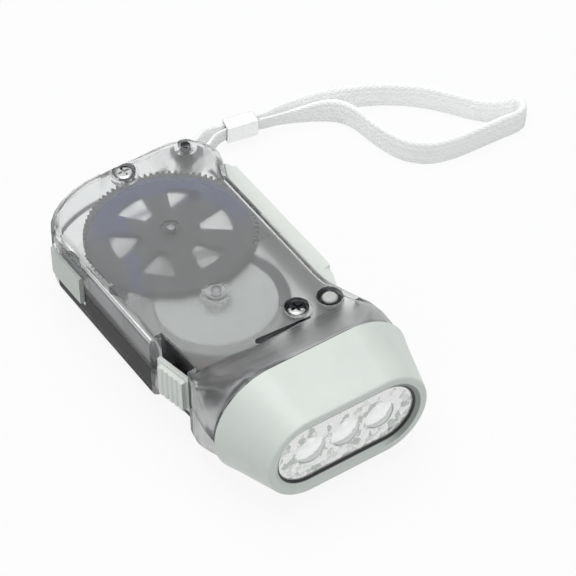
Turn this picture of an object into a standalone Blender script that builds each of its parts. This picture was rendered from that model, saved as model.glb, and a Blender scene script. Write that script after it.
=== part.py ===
"""Squeeze dynamo flashlight: a smoky clear two-part body with the hand lever on its right side and the
lamp head in front. Metres. The body is modelled flat, X across, Y towards the tail, Z up from the seam, with
Y = 0 at the back of the lamp head, and a root empty then lays it down on its back as it rests."""

import math

import bmesh
import bpy
from mathutils import Matrix, Vector

# Body
GAP = 0.0003
OVERRUN = 0.002
SEAM_GAP = 0.00015
WALL = 0.0016
CASE_HALF_HEIGHT = 0.0103
CASE_LEFT = 0.0273
CASE_RIGHT = 0.0200
TAIL_Y = 0.0863
EDGE_RADIUS = 0.0025
HEAD_HALF_WIDTH = 0.0271
HEAD_HALF_HEIGHT = 0.0159
FLARE_LENGTH = 0.0133
RIGHT_FLARE_LENGTH = 0.0255
LEFT_CORNER_ACROSS = 0.0205
LEFT_CORNER_ALONG = 0.0132
RIGHT_CORNER_ACROSS = 0.0120
RIGHT_CORNER_ALONG = 0.0099
BULGE_START = 0.0660
BULGE = 0.0031
SPIGOT_DEPTH = 0.0026
SPIGOT_WALL = 0.0014
BOSS_RADIUS = 0.00275

# The origin, under the middle of the body: how far it lies behind the back of the head
MIDDLE_FROM_HEAD = 0.03489

# Lamp head
BEZEL_LENGTH = 0.0167
BEZEL_WALL = 0.0014
BEZEL_BACK_HALF = (0.0277, 0.0164)
BEZEL_FRONT_HALF = (0.02265, 0.01205)
BEZEL_ROUNDING = 0.0005
RIM_THICKNESS = 0.0013
RIM_OPENING_HALF = (0.0207, 0.0101)
WINDOW_HALF = (0.0192, 0.0082)
LENS_LIP = 0.0005
LENS_THICKNESS = 0.0015
LENS_PITCH = 0.00983
DOME_RADIUS = 0.0041
DOME_HEIGHT = 0.0015
REFLECTOR_CLEARANCE = (0.000378144, 0.000435629)
REFLECTOR_DEPTH = 0.0066
CUP_RADIUS = 0.0044
LED_RADIUS = 0.0025
LED_FLANGE = 0.0004
LED_FLANGE_THICKNESS = 0.0010
LED_LENGTH = 0.0072
BOARD_HALF = (0.0180, 0.0070)
BOARD_THICKNESS = 0.0016

# Hand lever
PIVOT_X = 0.0168
PIVOT_Y = 0.0163
LEVER_INNER_X = 0.0204
LEVER_OUTER_X = 0.0248
LEVER_HALF_HEIGHT = 0.0068
LEVER_WALL = 0.0016
LEVER_FRONT_Y = 0.0295
LEVER_BACK_Y = 0.0710
LEVER_END_Y = 0.0745
LEVER_EDGE = 0.0020
LEVER_NOSE_RADIUS = 0.0080
LEVER_NOSE_DEG = 40
LEVER_CASE_GAP = 0.0004
EYE_RADIUS = 0.0036
EYE_GAP_HALF = 0.0025
PIN_RADIUS = 0.0016
PIN_HEAD_RADIUS = 0.0020
PIN_HEAD_HEIGHT = 0.0007
PIN_RING_RADIUS = 0.0033
PIN_RING_DEPTH = 0.0011
OPENING_HALF_HEIGHT = 0.0079
OPENING_START_Y = 0.0126
OPENING_END_Y = 0.0720
SPRING_WIRE_RADIUS = 0.00035
SPRING_RADIUS = 0.0030
SPRING_CURLS = 3.2
SPRING_SLOT_LENGTH = 0.0085

# Gear train
GEAR_X = -0.0021
GEAR_Y = 0.0591
ROTOR_BEARING_DEG = 264.27
MODULE = 0.0005
ADDENDUM = 0.0005
DEDENDUM = 0.00055
DRIVE_TEETH = 86
ROTOR_TEETH = 14
RACK_MODULE = 0.0008
RACK_TEETH = 127
PINION_TEETH = 10
RACK_ADDENDUM = 0.00045
RACK_DEDENDUM = 0.00090
RACK_CUT_TEETH = 11
RACK_LEAD_TEETH = 2
RACK_ARM_DEG = 30
RACK_BACKING = 0.0026
SHAFT_RADIUS = 0.0010
RACK_BOTTOM = 0.0016
RACK_TOP = 0.0046
PAWL_THICKNESS = 0.0005
PAWL_RADIUS = 0.0050
DRIVE_BOTTOM = 0.0057
DRIVE_TOP = 0.0075
HUB_RADIUS = 0.0040
WINDOW_INNER = 0.0075
WINDOW_OUTER = 0.0155
WINDOW_COUNT = 6
WINDOW_DEG = 36
WINDOW_PHASE_DEG = 45
ROOT_SHARE = 0.62
TIP_SHARE = 0.28

# Generator
FLYWHEEL_RADIUS = 0.0153
FLYWHEEL_BOTTOM = 0.0034
FLYWHEEL_TOP = 0.0052
MAGNET_RADIUS = 0.0184
MAGNET_BOTTOM = 0.0024
POLES_BOTTOM = 0.0006
POLES_TOP = 0.0018
POLE_COUNT = 12
POLE_ROOT_RADIUS = 0.0110
POLE_TIP_RADIUS = 0.0175
STATOR_BASE_THICKNESS = 0.0012
BOBBIN_FLANGE = 0.0010
BOBBIN_RADIUS = 0.0142
BOBBIN_CORE_RADIUS = 0.0050
WINDING_RADIUS = 0.0134
WIRE_RADIUS = 0.0006
WIRE_ARC_RADIUS = 0.0165
WIRE_LEVEL = -0.0006
WIRE_ARC_START_DEG = 60
WIRE_ARC_DEG = 120

# Left side
NOTCH_START_Y = 0.0145
NOTCH_END_Y = 0.0288
NOTCH_FRONT_X = 0.0229
NOTCH_BACK_X = 0.0239
NOTCH_WALL = 0.0010
SCOOP_START_Y = 0.0041
SCOOP_DEPTH = 0.0020
SWITCH_LENGTH = 0.0116
SWITCH_THICKNESS = 0.0012
SWITCH_HALF_HEIGHT = 0.0055
SWITCH_TURN_DEG = 10.6
SWITCH_X = -0.0250
SWITCH_Y = 0.0209
GRIP_LENGTH = 0.0087
GRIP_HEIGHT = 0.0014
GRIP_HALF_HEIGHT = 0.0047
GRIP_GROOVES = 5
GRIP_GROOVE_DEPTH = 0.0004
SWITCH_TRAVEL = 0.0020
STEM_LENGTH = 0.0020
STEM_REACH = 0.0030
STEM_BACK = 0.0028
SWITCH_BODY = (0.0034, 0.0064, 0.0080)
SWITCH_BODY_X = -0.0193
SWITCH_BODY_Y = 0.0168
LOCK_START_Y = 0.0610
LOCK_END_Y = 0.0750
LOCK_HALF_HEIGHT = 0.0042
LOCK_PROUD = 0.0008
LOCK_HEAD_GAP = 0.0010
LATCH_START_Y = 0.0560
LATCH_THICKNESS = 0.0013
LATCH_HALF_HEIGHT = 0.0020
LOCK_LIP = 0.0014
THUMB_Y = 0.0640
THUMB_RADIUS = 0.0082
THUMB_DEPTH = 0.0009
THUMB_FLOOR = 0.0075

# Fasteners, groove and strap post
TAIL_SCREW = (-0.0014, 0.0826)
HEAD_SCREW = (0.0082, 0.0179)
SCREW_HEAD_RADIUS = 0.0024
SCREW_HEAD_HEIGHT = 0.0011
SCREW_SHANK_RADIUS = 0.0009
SCREW_LENGTH = 0.0135
RECESS_RADIUS = 0.0031
RECESS_FLOOR = 0.0086
POST_RADIUS = 0.0020
CROSS_WIDTH = 0.0007
CROSS_DEPTH = 0.0006
GROOVE_Y = 0.01335
GROOVE_START_X = -0.0066
GROOVE_END_X = 0.0090
GROOVE_HALF_WIDTH = 0.0010
GROOVE_DEPTH = 0.0007
STRAP_POST_X = 0.0165
STRAP_POST_Y = 0.0817
STRAP_POST_RADIUS = 0.0015
STRAP_HOLE_RADIUS = 0.00125
STRAP_SLOT_X = 0.0125
STRAP_SLOT_Y = 0.0790
STRAP_SLOT_HALF_HEIGHT = 0.0040

# Cells
CELL_RADIUS = 0.0058
CELL_THICKNESS = 0.0054
CELL_FIRST_X = -0.0155
CELL_Y = 0.0078
CELL_Z = -0.0006
CONTACT_THICKNESS = 0.0004
CONTACT_HALF = 0.0040
CRADLE_THICKNESS = 0.0012

# Strap: half sizes of the flat braid, and its route over the floor
BRAID_HALF_WIDTH = 0.0040
BRAID_HALF_THICKNESS = 0.0009
STRAP_STEP = 0.0030
ANCHOR_SHARE = 0.62
CRIMP_SHARE = 0.50
CRIMP_LENGTH = 0.0088
CRIMP_WALL = 0.00045
CRIMP_START = (0.0357, 0.0584, 0.0050)
CRIMP_END = (0.0445, 0.0568, 0.0050)
STRAND_SPACING = 0.0008
WRIST_ROUTE = [
    (0.0445, 0.0560, 0.0050),
    (0.0480, 0.0554, 0.0047),
    (0.0520, 0.0548, 0.0043),
    (0.0565, 0.0537, 0.0041),
    (0.0620, 0.0518, 0.0041),
    (0.0660, 0.0490, 0.0041),
    (0.0682, 0.0443, 0.0041),
    (0.0692, 0.0384, 0.0041),
    (0.0707, 0.0325, 0.0041),
    (0.0731, 0.0278, 0.0041),
    (0.0776, 0.0240, 0.0041),
    (0.0840, 0.0222, 0.0041),
    (0.0910, 0.0217, 0.0041),
    (0.0980, 0.0214, 0.0041),
    (0.1034, 0.0211, 0.0041),
    (0.1060, 0.0220, 0.0041),
    (0.1066, 0.0240, 0.0041),
    (0.1052, 0.0258, 0.0041),
    (0.1015, 0.0268, 0.0041),
    (0.0972, 0.0300, 0.0041),
    (0.0930, 0.0354, 0.0041),
    (0.0888, 0.0405, 0.0041),
    (0.0840, 0.0449, 0.0041),
    (0.0780, 0.0489, 0.0041),
    (0.0720, 0.0518, 0.0041),
    (0.0655, 0.0545, 0.0041),
    (0.0590, 0.0565, 0.0041),
    (0.0525, 0.0578, 0.0043),
    (0.0480, 0.0575, 0.0047),
    (0.0446, 0.0576, 0.0050),
]
ANCHOR_FRONT = [
    (0.0357, 0.0576, 0.0050),
    (0.0320, 0.0562, 0.0062),
    (0.0270, 0.0524, 0.0085),
    (0.0225, 0.0483, 0.0103),
]
ANCHOR_BACK = [
    (0.0150, 0.0485, 0.0103),
    (0.0200, 0.0516, 0.0103),
    (0.0255, 0.0558, 0.0085),
    (0.0310, 0.0588, 0.0062),
    (0.0358, 0.0592, 0.0050),
]

# How finely round shapes are divided
ARC_STEPS = 4
ROUND_STEPS = 32
FLYWHEEL_STEPS = 48
SMALL_STEPS = 16
CORNER_STEPS = 7
FLARE_STEPS = 8
STADIUM_STEPS = 12
CURL_STEPS = 10
ROUTE_STEPS = 10
SHARP_DEG = 35


for old in list(bpy.data.objects):
    bpy.data.objects.remove(old)

# The body lies on the lower back edge of its head and on the edge of its tail.
HEAD_REST_Y = -2 * GAP
TILT = math.atan((BEZEL_BACK_HALF[1] - CASE_HALF_HEIGHT) / (TAIL_Y - EDGE_RADIUS - HEAD_REST_Y))
root = bpy.data.objects.new("laid_down", None)
root.rotation_euler.x = -TILT
root.location = (
    (CASE_LEFT + LOCK_PROUD - BEZEL_BACK_HALF[0]) / 2,
    -MIDDLE_FROM_HEAD,
    BEZEL_BACK_HALF[1] * math.cos(TILT) + HEAD_REST_Y * math.sin(TILT),
)
bpy.context.scene.collection.objects.link(root)
bpy.context.view_layer.update()

# The lower half of the body is drawn as the upper one is, and turned over by this empty.
turned_over = bpy.data.objects.new("turned_over", None)
turned_over.parent = root
turned_over.scale.z = -1
bpy.context.scene.collection.objects.link(turned_over)


def material(name, colour, roughness, metallic=0.0, alpha=1.0):
    made = bpy.data.materials.new(name)
    made.use_nodes = True
    shader = made.node_tree.nodes["Principled BSDF"]
    shader.inputs["Base Color"].default_value = (*colour, 1)
    shader.inputs["Roughness"].default_value = roughness
    shader.inputs["Metallic"].default_value = metallic
    shader.inputs["Alpha"].default_value = alpha
    return made


def place(name, data, made, location=(0, 0, 0), parent=None):
    if made.name not in data.materials:
        data.materials.append(made)
    made_object = bpy.data.objects.new(name, data)
    made_object.parent = parent or root
    made_object.location = location
    bpy.context.scene.collection.objects.link(made_object)
    return made_object


def cutter(name, data, parent=None):
    tool = bpy.data.objects.new(name, data)
    tool.parent = parent or root
    tool.hide_render = True
    tool.display_type = "WIRE"
    bpy.context.scene.collection.objects.link(tool)
    return tool


def combine(target, other, operation):
    """Adds one solid to another or cuts it away. Flush walls need the solver for closed meshes."""
    other.parent = target.parent
    step = target.modifiers.new(other.name, "BOOLEAN")
    step.solver = "MANIFOLD"
    step.operation = operation
    step.object = other
    return target


def finish(bm, name):
    """The mesh of bm, its normals facing out and its sides shaded smooth."""
    bmesh.ops.recalc_face_normals(bm, faces=bm.faces)
    mesh = bpy.data.meshes.new(name)
    bm.to_mesh(mesh)
    bm.free()
    mesh.shade_smooth()
    mesh.set_sharp_from_angle(angle=math.radians(SHARP_DEG))
    return mesh


def bridge(bm, pairs):
    """Joins each ring of vertices to the next one."""
    for near, far in pairs:
        for i, vertex in enumerate(near):
            following = (i + 1) % len(near)
            bm.faces.new((vertex, near[following], far[following], far[i]))


def bounded(bm, rings):
    """A solid through a row of rings of points, capped at both ends."""
    rows = [[bm.verts.new(point) for point in ring] for ring in rings]
    bridge(bm, zip(rows, rows[1:]))
    bm.faces.new(list(reversed(rows[0])))
    bm.faces.new(rows[-1])


def looped(bm, rings):
    """A solid with a hole through it: the last ring of points is joined to the first."""
    rows = [[bm.verts.new(point) for point in ring] for ring in rings]
    bridge(bm, zip(rows, rows[1:] + rows[:1]))


def add_prism(bm, outline, bottom, top):
    bounded(bm, [[(x, y, z) for x, y in outline] for z in (bottom, top)])


def circles(profile, centre, steps):
    """A ring of points about a Z axis for each (radius, height) pair."""
    turns = [2 * math.pi * step / steps for step in range(steps)]
    x, y = centre
    return [[(x + r * math.cos(a), y + r * math.sin(a), z) for a in turns] for r, z in profile]


def add_turned(bm, profile, centre=(0, 0), steps=ROUND_STEPS):
    """A solid turned about a Z axis from (radius, height) pairs, given from its bottom to its top."""
    bounded(bm, circles(profile, centre, steps))


def add_cylinder(bm, centre, radius, bottom, top, steps=SMALL_STEPS):
    """A plain upright cylinder, as a post or as what cuts a hole."""
    add_turned(bm, [(radius, bottom), (radius, top)], centre, steps)


def add_box(bm, low, high):
    (x0, y0, z0), (x1, y1, z1) = low, high
    add_prism(bm, [(x0, y0), (x1, y0), (x1, y1), (x0, y1)], z0, z1)


def prism(name, outline, bottom, top):
    bm = bmesh.new()
    add_prism(bm, outline, bottom, top)
    return finish(bm, name)


def turned(name, profile, steps=ROUND_STEPS):
    bm = bmesh.new()
    add_turned(bm, profile, steps=steps)
    return finish(bm, name)


def turned_ring(name, profile, steps=ROUND_STEPS):
    """A solid turned about the Z axis with a hole through it, from a closed loop of (radius, height)."""
    bm = bmesh.new()
    looped(bm, circles(profile, (0, 0), steps))
    return finish(bm, name)


def tube(name, inner, outer, bottom, top, steps=ROUND_STEPS):
    return turned_ring(name, [(inner, bottom), (outer, bottom), (outer, top), (inner, top)], steps)


def stadium(half_width, half_height):
    """A long round outline, counterclockwise."""
    straight = half_width - half_height
    points = []
    for side, start in ((1, -math.pi / 2), (-1, math.pi / 2)):
        for step in range(STADIUM_STEPS + 1):
            a = start + math.pi * step / STADIUM_STEPS
            points.append((side * straight + half_height * math.cos(a), half_height * math.sin(a)))
    return points


def along_y(name, sections):
    """A solid lofted through stadium outlines, each given as (y, half width, half height)."""
    bm = bmesh.new()
    bounded(bm, [[(x, y, z) for x, z in stadium(w, h)] for y, w, h in sections])
    return finish(bm, name)


def smooth(share):
    share = min(max(share, 0), 1)
    return share * share * (3 - 2 * share)


def case_height(y):
    return HEAD_HALF_HEIGHT + (CASE_HALF_HEIGHT - HEAD_HALF_HEIGHT) * smooth(y / FLARE_LENGTH)


def case_edge(y):
    full = case_height(y) - 2 * SEAM_GAP
    return full + (EDGE_RADIUS - full) * smooth(y / FLARE_LENGTH)


def right_side(y):
    flare = (HEAD_HALF_WIDTH - CASE_RIGHT) * (1 - smooth(y / RIGHT_FLARE_LENGTH))
    bulge = BULGE * smooth((y - BULGE_START) / (TAIL_Y - RIGHT_CORNER_ALONG - BULGE_START))
    return CASE_RIGHT + flare + bulge


def left_side(y):
    """X of the left side, round its tail corner as well."""
    along = max(y - (TAIL_Y - LEFT_CORNER_ALONG), 0) / LEFT_CORNER_ALONG
    return LEFT_CORNER_ACROSS * (1 - math.sqrt(max(1 - along * along, 0))) - CASE_LEFT


def case_stations():
    """Pairs of outline points, left and right, from the head to the tail."""
    left_start = TAIL_Y - LEFT_CORNER_ALONG
    right_start = TAIL_Y - RIGHT_CORNER_ALONG
    pairs = []
    for step in range(FLARE_STEPS + 1):
        y = RIGHT_FLARE_LENGTH * step / FLARE_STEPS
        pairs.append(((-CASE_LEFT, y), (right_side(y), y)))
    for step in range(ARC_STEPS):
        share = step / ARC_STEPS
        y = BULGE_START + (right_start - BULGE_START) * share
        pairs.append(((-CASE_LEFT, BULGE_START + (left_start - BULGE_START) * share), (right_side(y), y)))
    for step in range(CORNER_STEPS + 1):
        a = math.pi / 2 * step / CORNER_STEPS
        left = (-CASE_LEFT + LEFT_CORNER_ACROSS * (1 - math.cos(a)),
                left_start + LEFT_CORNER_ALONG * math.sin(a))
        across = right_side(right_start) - RIGHT_CORNER_ACROSS * (1 - math.cos(a))
        pairs.append((left, (across, right_start + RIGHT_CORNER_ALONG * math.sin(a))))
    return pairs


def inward(points, side):
    """The inward unit normal at each point of one side's outline."""
    normals = []
    for i, point in enumerate(points):
        before = Vector(points[max(i - 1, 0)])
        after = Vector(points[min(i + 1, len(points) - 1)])
        along = (after - before).normalized()
        normals.append(Vector((along.y, -along.x)) * side)
    normals[0] = Vector((side, 0))
    normals[-1] = Vector((0, -1))
    return normals


def add_half_body(bm, inset, bottom, reach):
    """Half of the body above the seam, drawn in by inset, down to bottom, and on past the head by reach."""
    pairs = case_stations()
    columns = []
    for side, points in ((1, [left for left, _ in pairs]), (-1, [right for _, right in pairs])):
        rows = []
        for point, normal in zip(points, inward(points, side)):
            height = case_height(point[1]) - inset
            radius = max(case_edge(point[1]) - inset, WALL / 2)
            base = Vector(point) + normal * inset
            column = [(base.x, base.y, bottom)]
            for step in range(ARC_STEPS + 1):
                a = math.pi / 2 * step / ARC_STEPS
                spot = base + normal * radius * (1 - math.cos(a))
                column.append((spot.x, spot.y, height - radius * (1 - math.sin(a))))
            rows.append(column)
        if reach:
            rows.insert(0, [(x, y - reach, z) for x, y, z in rows[0]])
        columns.append(rows)
    rings = [left + list(reversed(right)) for left, right in zip(*columns)]
    bounded(bm, rings)


def notch_outline(grown):
    """The switch notch and the scoop ahead of it. The wall behind it is the outline grown inwards."""
    far = -CASE_LEFT - OVERRUN
    scoop = SCOOP_DEPTH + grown
    return [
        (far, NOTCH_END_Y + grown),
        (far, SCOOP_START_Y),
        (-CASE_LEFT + grown, SCOOP_START_Y),
        (-CASE_LEFT + scoop * 3 / 4, NOTCH_START_Y - SCOOP_DEPTH - grown),
        (-CASE_LEFT + scoop, NOTCH_START_Y - grown),
        (-NOTCH_FRONT_X + grown, NOTCH_START_Y - grown),
        (-NOTCH_BACK_X + grown, NOTCH_END_Y + grown),
    ]


def half_ring(outer, inner, bottom):
    """The upper half of a stadium ring, its ends standing at bottom."""
    above = [point for point in stadium(*outer) if point[1] > bottom]
    below = [point for point in stadium(*inner) if point[1] > bottom]
    outside = [(outer[0], bottom)] + above + [(-outer[0], bottom)]
    inside = [(-inner[0], bottom)] + list(reversed(below)) + [(inner[0], bottom)]
    return outside + inside


def bezel_half(y):
    """Half width and half height of the tapered lamp head at y."""
    share = -y / BEZEL_LENGTH
    return [back + (front - back) * share for back, front in zip(BEZEL_BACK_HALF, BEZEL_FRONT_HALF)]


def add_spigot(bm):
    """The lip that the lamp head snaps over."""
    rings = []
    for y in (-SPIGOT_DEPTH, WALL):
        outer = [half - BEZEL_WALL - GAP for half in bezel_half(y)]
        inner = [half - SPIGOT_WALL for half in outer]
        rings.append([(x, y, z) for x, z in half_ring(outer, inner, SEAM_GAP)])
    bounded(bm, rings)


def rotor_centre():
    distance = MODULE * (DRIVE_TEETH + ROTOR_TEETH) / 2
    a = math.radians(ROTOR_BEARING_DEG)
    return (GEAR_X + distance * math.cos(a), GEAR_Y + distance * math.sin(a))


ROTOR_X, ROTOR_Y = rotor_centre()
CEILING = CASE_HALF_HEIGHT - WALL
BOSS_BOTTOM = DRIVE_TOP + GAP


def add_top_bosses(bm):
    """Rings, posts and seats under the ceiling, sunk a little into it."""
    roof = CEILING + WALL / 2
    for x, y in ((GEAR_X, GEAR_Y), (ROTOR_X, ROTOR_Y)):
        add_cylinder(bm, (x, y), BOSS_RADIUS, BOSS_BOTTOM, roof)
    seat = RECESS_RADIUS + WALL / 2
    screw_post = [(POST_RADIUS, SEAM_GAP), (POST_RADIUS, BOSS_BOTTOM), (seat, BOSS_BOTTOM), (seat, roof)]
    add_turned(bm, screw_post, HEAD_SCREW, SMALL_STEPS)
    add_tail_post(bm, BOSS_BOTTOM + WALL / 2)
    add_pin_bosses(bm, roof)


def add_tail_post(bm, roof):
    """The post of the tail screw, between the drive gear and the end wall."""
    x = TAIL_SCREW[0]
    gear_side = GEAR_Y + MODULE * DRIVE_TEETH / 2 + ADDENDUM + GAP
    add_box(bm, (x - POST_RADIUS, gear_side, SEAM_GAP), (x + POST_RADIUS, TAIL_Y - WALL / 2, roof))


def add_pin_bosses(bm, roof):
    """Seats for the lever pin and the strap post, both bored later."""
    add_cylinder(bm, (PIVOT_X, PIVOT_Y), EYE_RADIUS, LEVER_HALF_HEIGHT + GAP, roof)
    add_cylinder(bm, (STRAP_POST_X, STRAP_POST_Y), STRAP_POST_RADIUS + WALL,
                 STRAP_SLOT_HALF_HEIGHT + WALL / 2, roof)


def add_tail_seat(bm):
    """The floor of the tail screw's recess, over the gear and ending inside the tail wall."""
    outline = []
    for step in range(SMALL_STEPS):
        across, along = polar(RECESS_RADIUS + WALL / 2, 2 * math.pi * step / SMALL_STEPS)
        outline.append((TAIL_SCREW[0] + across, min(TAIL_SCREW[1] + along, TAIL_Y - WALL / 2)))
    add_prism(bm, outline, BOSS_BOTTOM, CEILING + WALL / 2)


def side_openings(bm):
    """The lever's and the lock button's openings and the strap's slot, from the seam to their half height."""
    low = -OVERRUN
    far = LEVER_OUTER_X + OVERRUN
    add_box(bm, (CASE_RIGHT - WALL - GAP, OPENING_START_Y, low), (far, OPENING_END_Y, OPENING_HALF_HEIGHT))
    far = -CASE_LEFT - OVERRUN
    inner = left_side(LOCK_END_Y) + WALL + OVERRUN
    add_box(bm, (far, LOCK_START_Y - LOCK_HEAD_GAP, low), (inner, LOCK_END_Y + GAP, LOCK_HALF_HEIGHT + GAP))
    add_box(bm, (STRAP_SLOT_X, STRAP_SLOT_Y, low), (LEVER_OUTER_X, TAIL_Y + OVERRUN, STRAP_SLOT_HALF_HEIGHT))
    stem = SWITCH_Y - STEM_BACK
    add_box(bm, (-NOTCH_BACK_X - NOTCH_WALL, stem - STEM_LENGTH / 2 - GAP, low),
            (-NOTCH_FRONT_X + 2 * NOTCH_WALL, stem + STEM_LENGTH / 2 + SWITCH_TRAVEL + 2 * GAP,
             STEM_LENGTH / 2 + GAP))


def body_tool(name, build, *values):
    bm = bmesh.new()
    build(bm, *values)
    return cutter(name, finish(bm, name))


def half_shell(name, made, parent):
    """One half of the body with what both halves share."""
    bm = bmesh.new()
    add_half_body(bm, 0, SEAM_GAP, 0)
    shell = place(name, finish(bm, name), made, parent=parent)
    notch = prism(name, notch_outline(0), -OVERRUN, 2 * CASE_HALF_HEIGHT)
    combine(shell, cutter(name + "_notch", notch), "DIFFERENCE")
    hollow = body_tool(name + "_hollow", add_half_body, WALL, -OVERRUN, OVERRUN)
    behind = prism(name, notch_outline(NOTCH_WALL), -2 * OVERRUN, 2 * CASE_HALF_HEIGHT)
    combine(shell, hollow, "DIFFERENCE")
    combine(hollow, cutter(name + "_behind_notch", behind), "DIFFERENCE")
    combine(shell, body_tool(name + "_spigot", add_spigot), "UNION")
    combine(shell, body_tool(name + "_openings", side_openings), "DIFFERENCE")
    return shell


def top_holes(bm):
    above = CASE_HALF_HEIGHT + OVERRUN
    for centre in (TAIL_SCREW, HEAD_SCREW):
        shank = SCREW_SHANK_RADIUS + GAP / 2
        add_turned(bm, [(shank, -OVERRUN), (shank, RECESS_FLOOR), (RECESS_RADIUS, RECESS_FLOOR),
                        (RECESS_RADIUS, above)], centre, SMALL_STEPS)
    for centre in ((GEAR_X, GEAR_Y), (ROTOR_X, ROTOR_Y)):
        add_cylinder(bm, centre, SHAFT_RADIUS + GAP, CEILING - WALL, CEILING + WALL / 2 + GAP)
    ring_floor = CASE_HALF_HEIGHT - PIN_RING_DEPTH
    pin = PIN_RADIUS + GAP
    add_turned(bm, [(pin, LEVER_HALF_HEIGHT), (pin, ring_floor), (PIN_RING_RADIUS, ring_floor),
                    (PIN_RING_RADIUS, above)], (PIVOT_X, PIVOT_Y), SMALL_STEPS)
    seat = STRAP_POST_RADIUS + GAP
    strap_hole = [(seat, -OVERRUN), (seat, CEILING), (STRAP_HOLE_RADIUS, CEILING), (STRAP_HOLE_RADIUS, above)]
    add_turned(bm, strap_hole, (STRAP_POST_X, STRAP_POST_Y), SMALL_STEPS)


def groove(bm):
    """The drip groove ahead of the works, round at its left end and pointed at its right."""
    outline = []
    for step in range(SMALL_STEPS // 2 + 1):
        a = math.pi / 2 + math.pi * step / (SMALL_STEPS // 2)
        centre = GROOVE_START_X + GROOVE_HALF_WIDTH
        outline.append((centre + GROOVE_HALF_WIDTH * math.cos(a), GROOVE_Y + GROOVE_HALF_WIDTH * math.sin(a)))
    outline.append((GROOVE_END_X, GROOVE_Y - GROOVE_HALF_WIDTH / 2))
    outline.append((GROOVE_END_X, GROOVE_Y))
    add_prism(bm, outline, CASE_HALF_HEIGHT - GROOVE_DEPTH, CASE_HALF_HEIGHT + OVERRUN)


def thumb_scoop(bm):
    centre = (-CASE_LEFT + THUMB_DEPTH - THUMB_RADIUS, THUMB_Y)
    add_cylinder(bm, centre, THUMB_RADIUS, THUMB_FLOOR, CASE_HALF_HEIGHT + OVERRUN, 2 * ROUND_STEPS)


def make_top_case(made):
    shell = half_shell("top_case", made, root)
    combine(shell, body_tool("top_bosses", add_top_bosses), "UNION")
    combine(shell, body_tool("tail_seat", add_tail_seat), "UNION")
    combine(shell, body_tool("top_holes", top_holes), "DIFFERENCE")
    combine(shell, body_tool("drip_groove", groove), "DIFFERENCE")
    combine(shell, body_tool("thumb_scoop", thumb_scoop), "DIFFERENCE")
    return shell


def add_bottom_bosses(bm):
    """Posts and seats on the floor, drawn as if it were a ceiling because the half is turned over."""
    roof = CEILING + WALL / 2
    add_turned(bm, [(BOSS_RADIUS, GAP - RACK_BOTTOM), (BOSS_RADIUS, roof)], (GEAR_X, GEAR_Y), SMALL_STEPS)
    add_cylinder(bm, HEAD_SCREW, POST_RADIUS, SEAM_GAP, roof)
    add_tail_post(bm, roof)
    add_pin_bosses(bm, roof)
    half = CRADLE_THICKNESS / 2
    for x in (CELL_FIRST_X, CELL_FIRST_X + 2 * (CELL_THICKNESS + GAP)):
        low = (x - half, CELL_Y - CELL_RADIUS, CELL_RADIUS / 2)
        add_box(bm, low, (x + half, CELL_Y + CELL_RADIUS, CEILING + WALL))


def bottom_holes(bm):
    shaft = SHAFT_RADIUS + GAP
    add_turned(bm, [(shaft, -RACK_BOTTOM - OVERRUN), (shaft, CEILING)], (GEAR_X, GEAR_Y), SMALL_STEPS)
    for centre in (HEAD_SCREW, TAIL_SCREW):
        add_cylinder(bm, centre, SCREW_SHANK_RADIUS + GAP / 2, -OVERRUN, SCREW_LENGTH - RECESS_FLOOR + GAP)
    add_cylinder(bm, (STRAP_POST_X, STRAP_POST_Y), STRAP_POST_RADIUS + GAP, -OVERRUN, CEILING)
    add_cylinder(bm, (PIVOT_X, PIVOT_Y), PIN_RADIUS + GAP, LEVER_HALF_HEIGHT, CEILING)


def cell_bay(bm):
    """What the cells lie in: their stack, grown by the gap."""
    start = CELL_FIRST_X - CELL_THICKNESS
    reach = 4 * (CELL_THICKNESS + GAP)
    turns = [2 * math.pi * step / ROUND_STEPS for step in range(ROUND_STEPS)]
    radius = (CELL_RADIUS + GAP) / math.cos(math.pi / ROUND_STEPS)
    ring = [(CELL_Y + radius * math.cos(a), -CELL_Z + radius * math.sin(a)) for a in turns]
    bounded(bm, [[(x, y, z) for y, z in ring] for x in (start, start + reach)])


def make_bottom_case(made):
    shell = half_shell("bottom_case", made, turned_over)
    combine(shell, body_tool("bottom_bosses", add_bottom_bosses), "UNION")
    combine(shell, body_tool("bottom_holes", bottom_holes), "DIFFERENCE")
    combine(shell, body_tool("cell_bay", cell_bay), "DIFFERENCE")
    return shell


def make_bezel(made):
    """The tapered lamp head: an outer loft, hollowed by an inner one, with the window cut through it."""
    rear = [half - GAP for half in BEZEL_BACK_HALF]
    sections = [(HEAD_REST_Y / 2, *rear), (HEAD_REST_Y, *BEZEL_BACK_HALF)]
    for step in range(ARC_STEPS + 1):
        a = math.pi / 2 * step / ARC_STEPS
        y = -BEZEL_LENGTH + BEZEL_ROUNDING * (1 - math.sin(a))
        inset = BEZEL_ROUNDING * (1 - math.cos(a))
        sections.append((y, *[half - inset for half in bezel_half(y)]))
    bezel = place("head_bezel", along_y("head_bezel", sections), made)
    inner_front = RIM_THICKNESS - BEZEL_LENGTH
    inner = [(y, *[half - BEZEL_WALL for half in bezel_half(y)]) for y in (OVERRUN, inner_front)]
    combine(bezel, cutter("bezel_hollow", along_y("bezel_hollow", inner)), "DIFFERENCE")
    window = [(y, *WINDOW_HALF) for y in (inner_front + OVERRUN, inner_front)]
    window += [(y, *RIM_OPENING_HALF) for y in (-BEZEL_LENGTH, -BEZEL_LENGTH - OVERRUN)]
    combine(bezel, cutter("window", along_y("window", window)), "DIFFERENCE")
    return bezel


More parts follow.
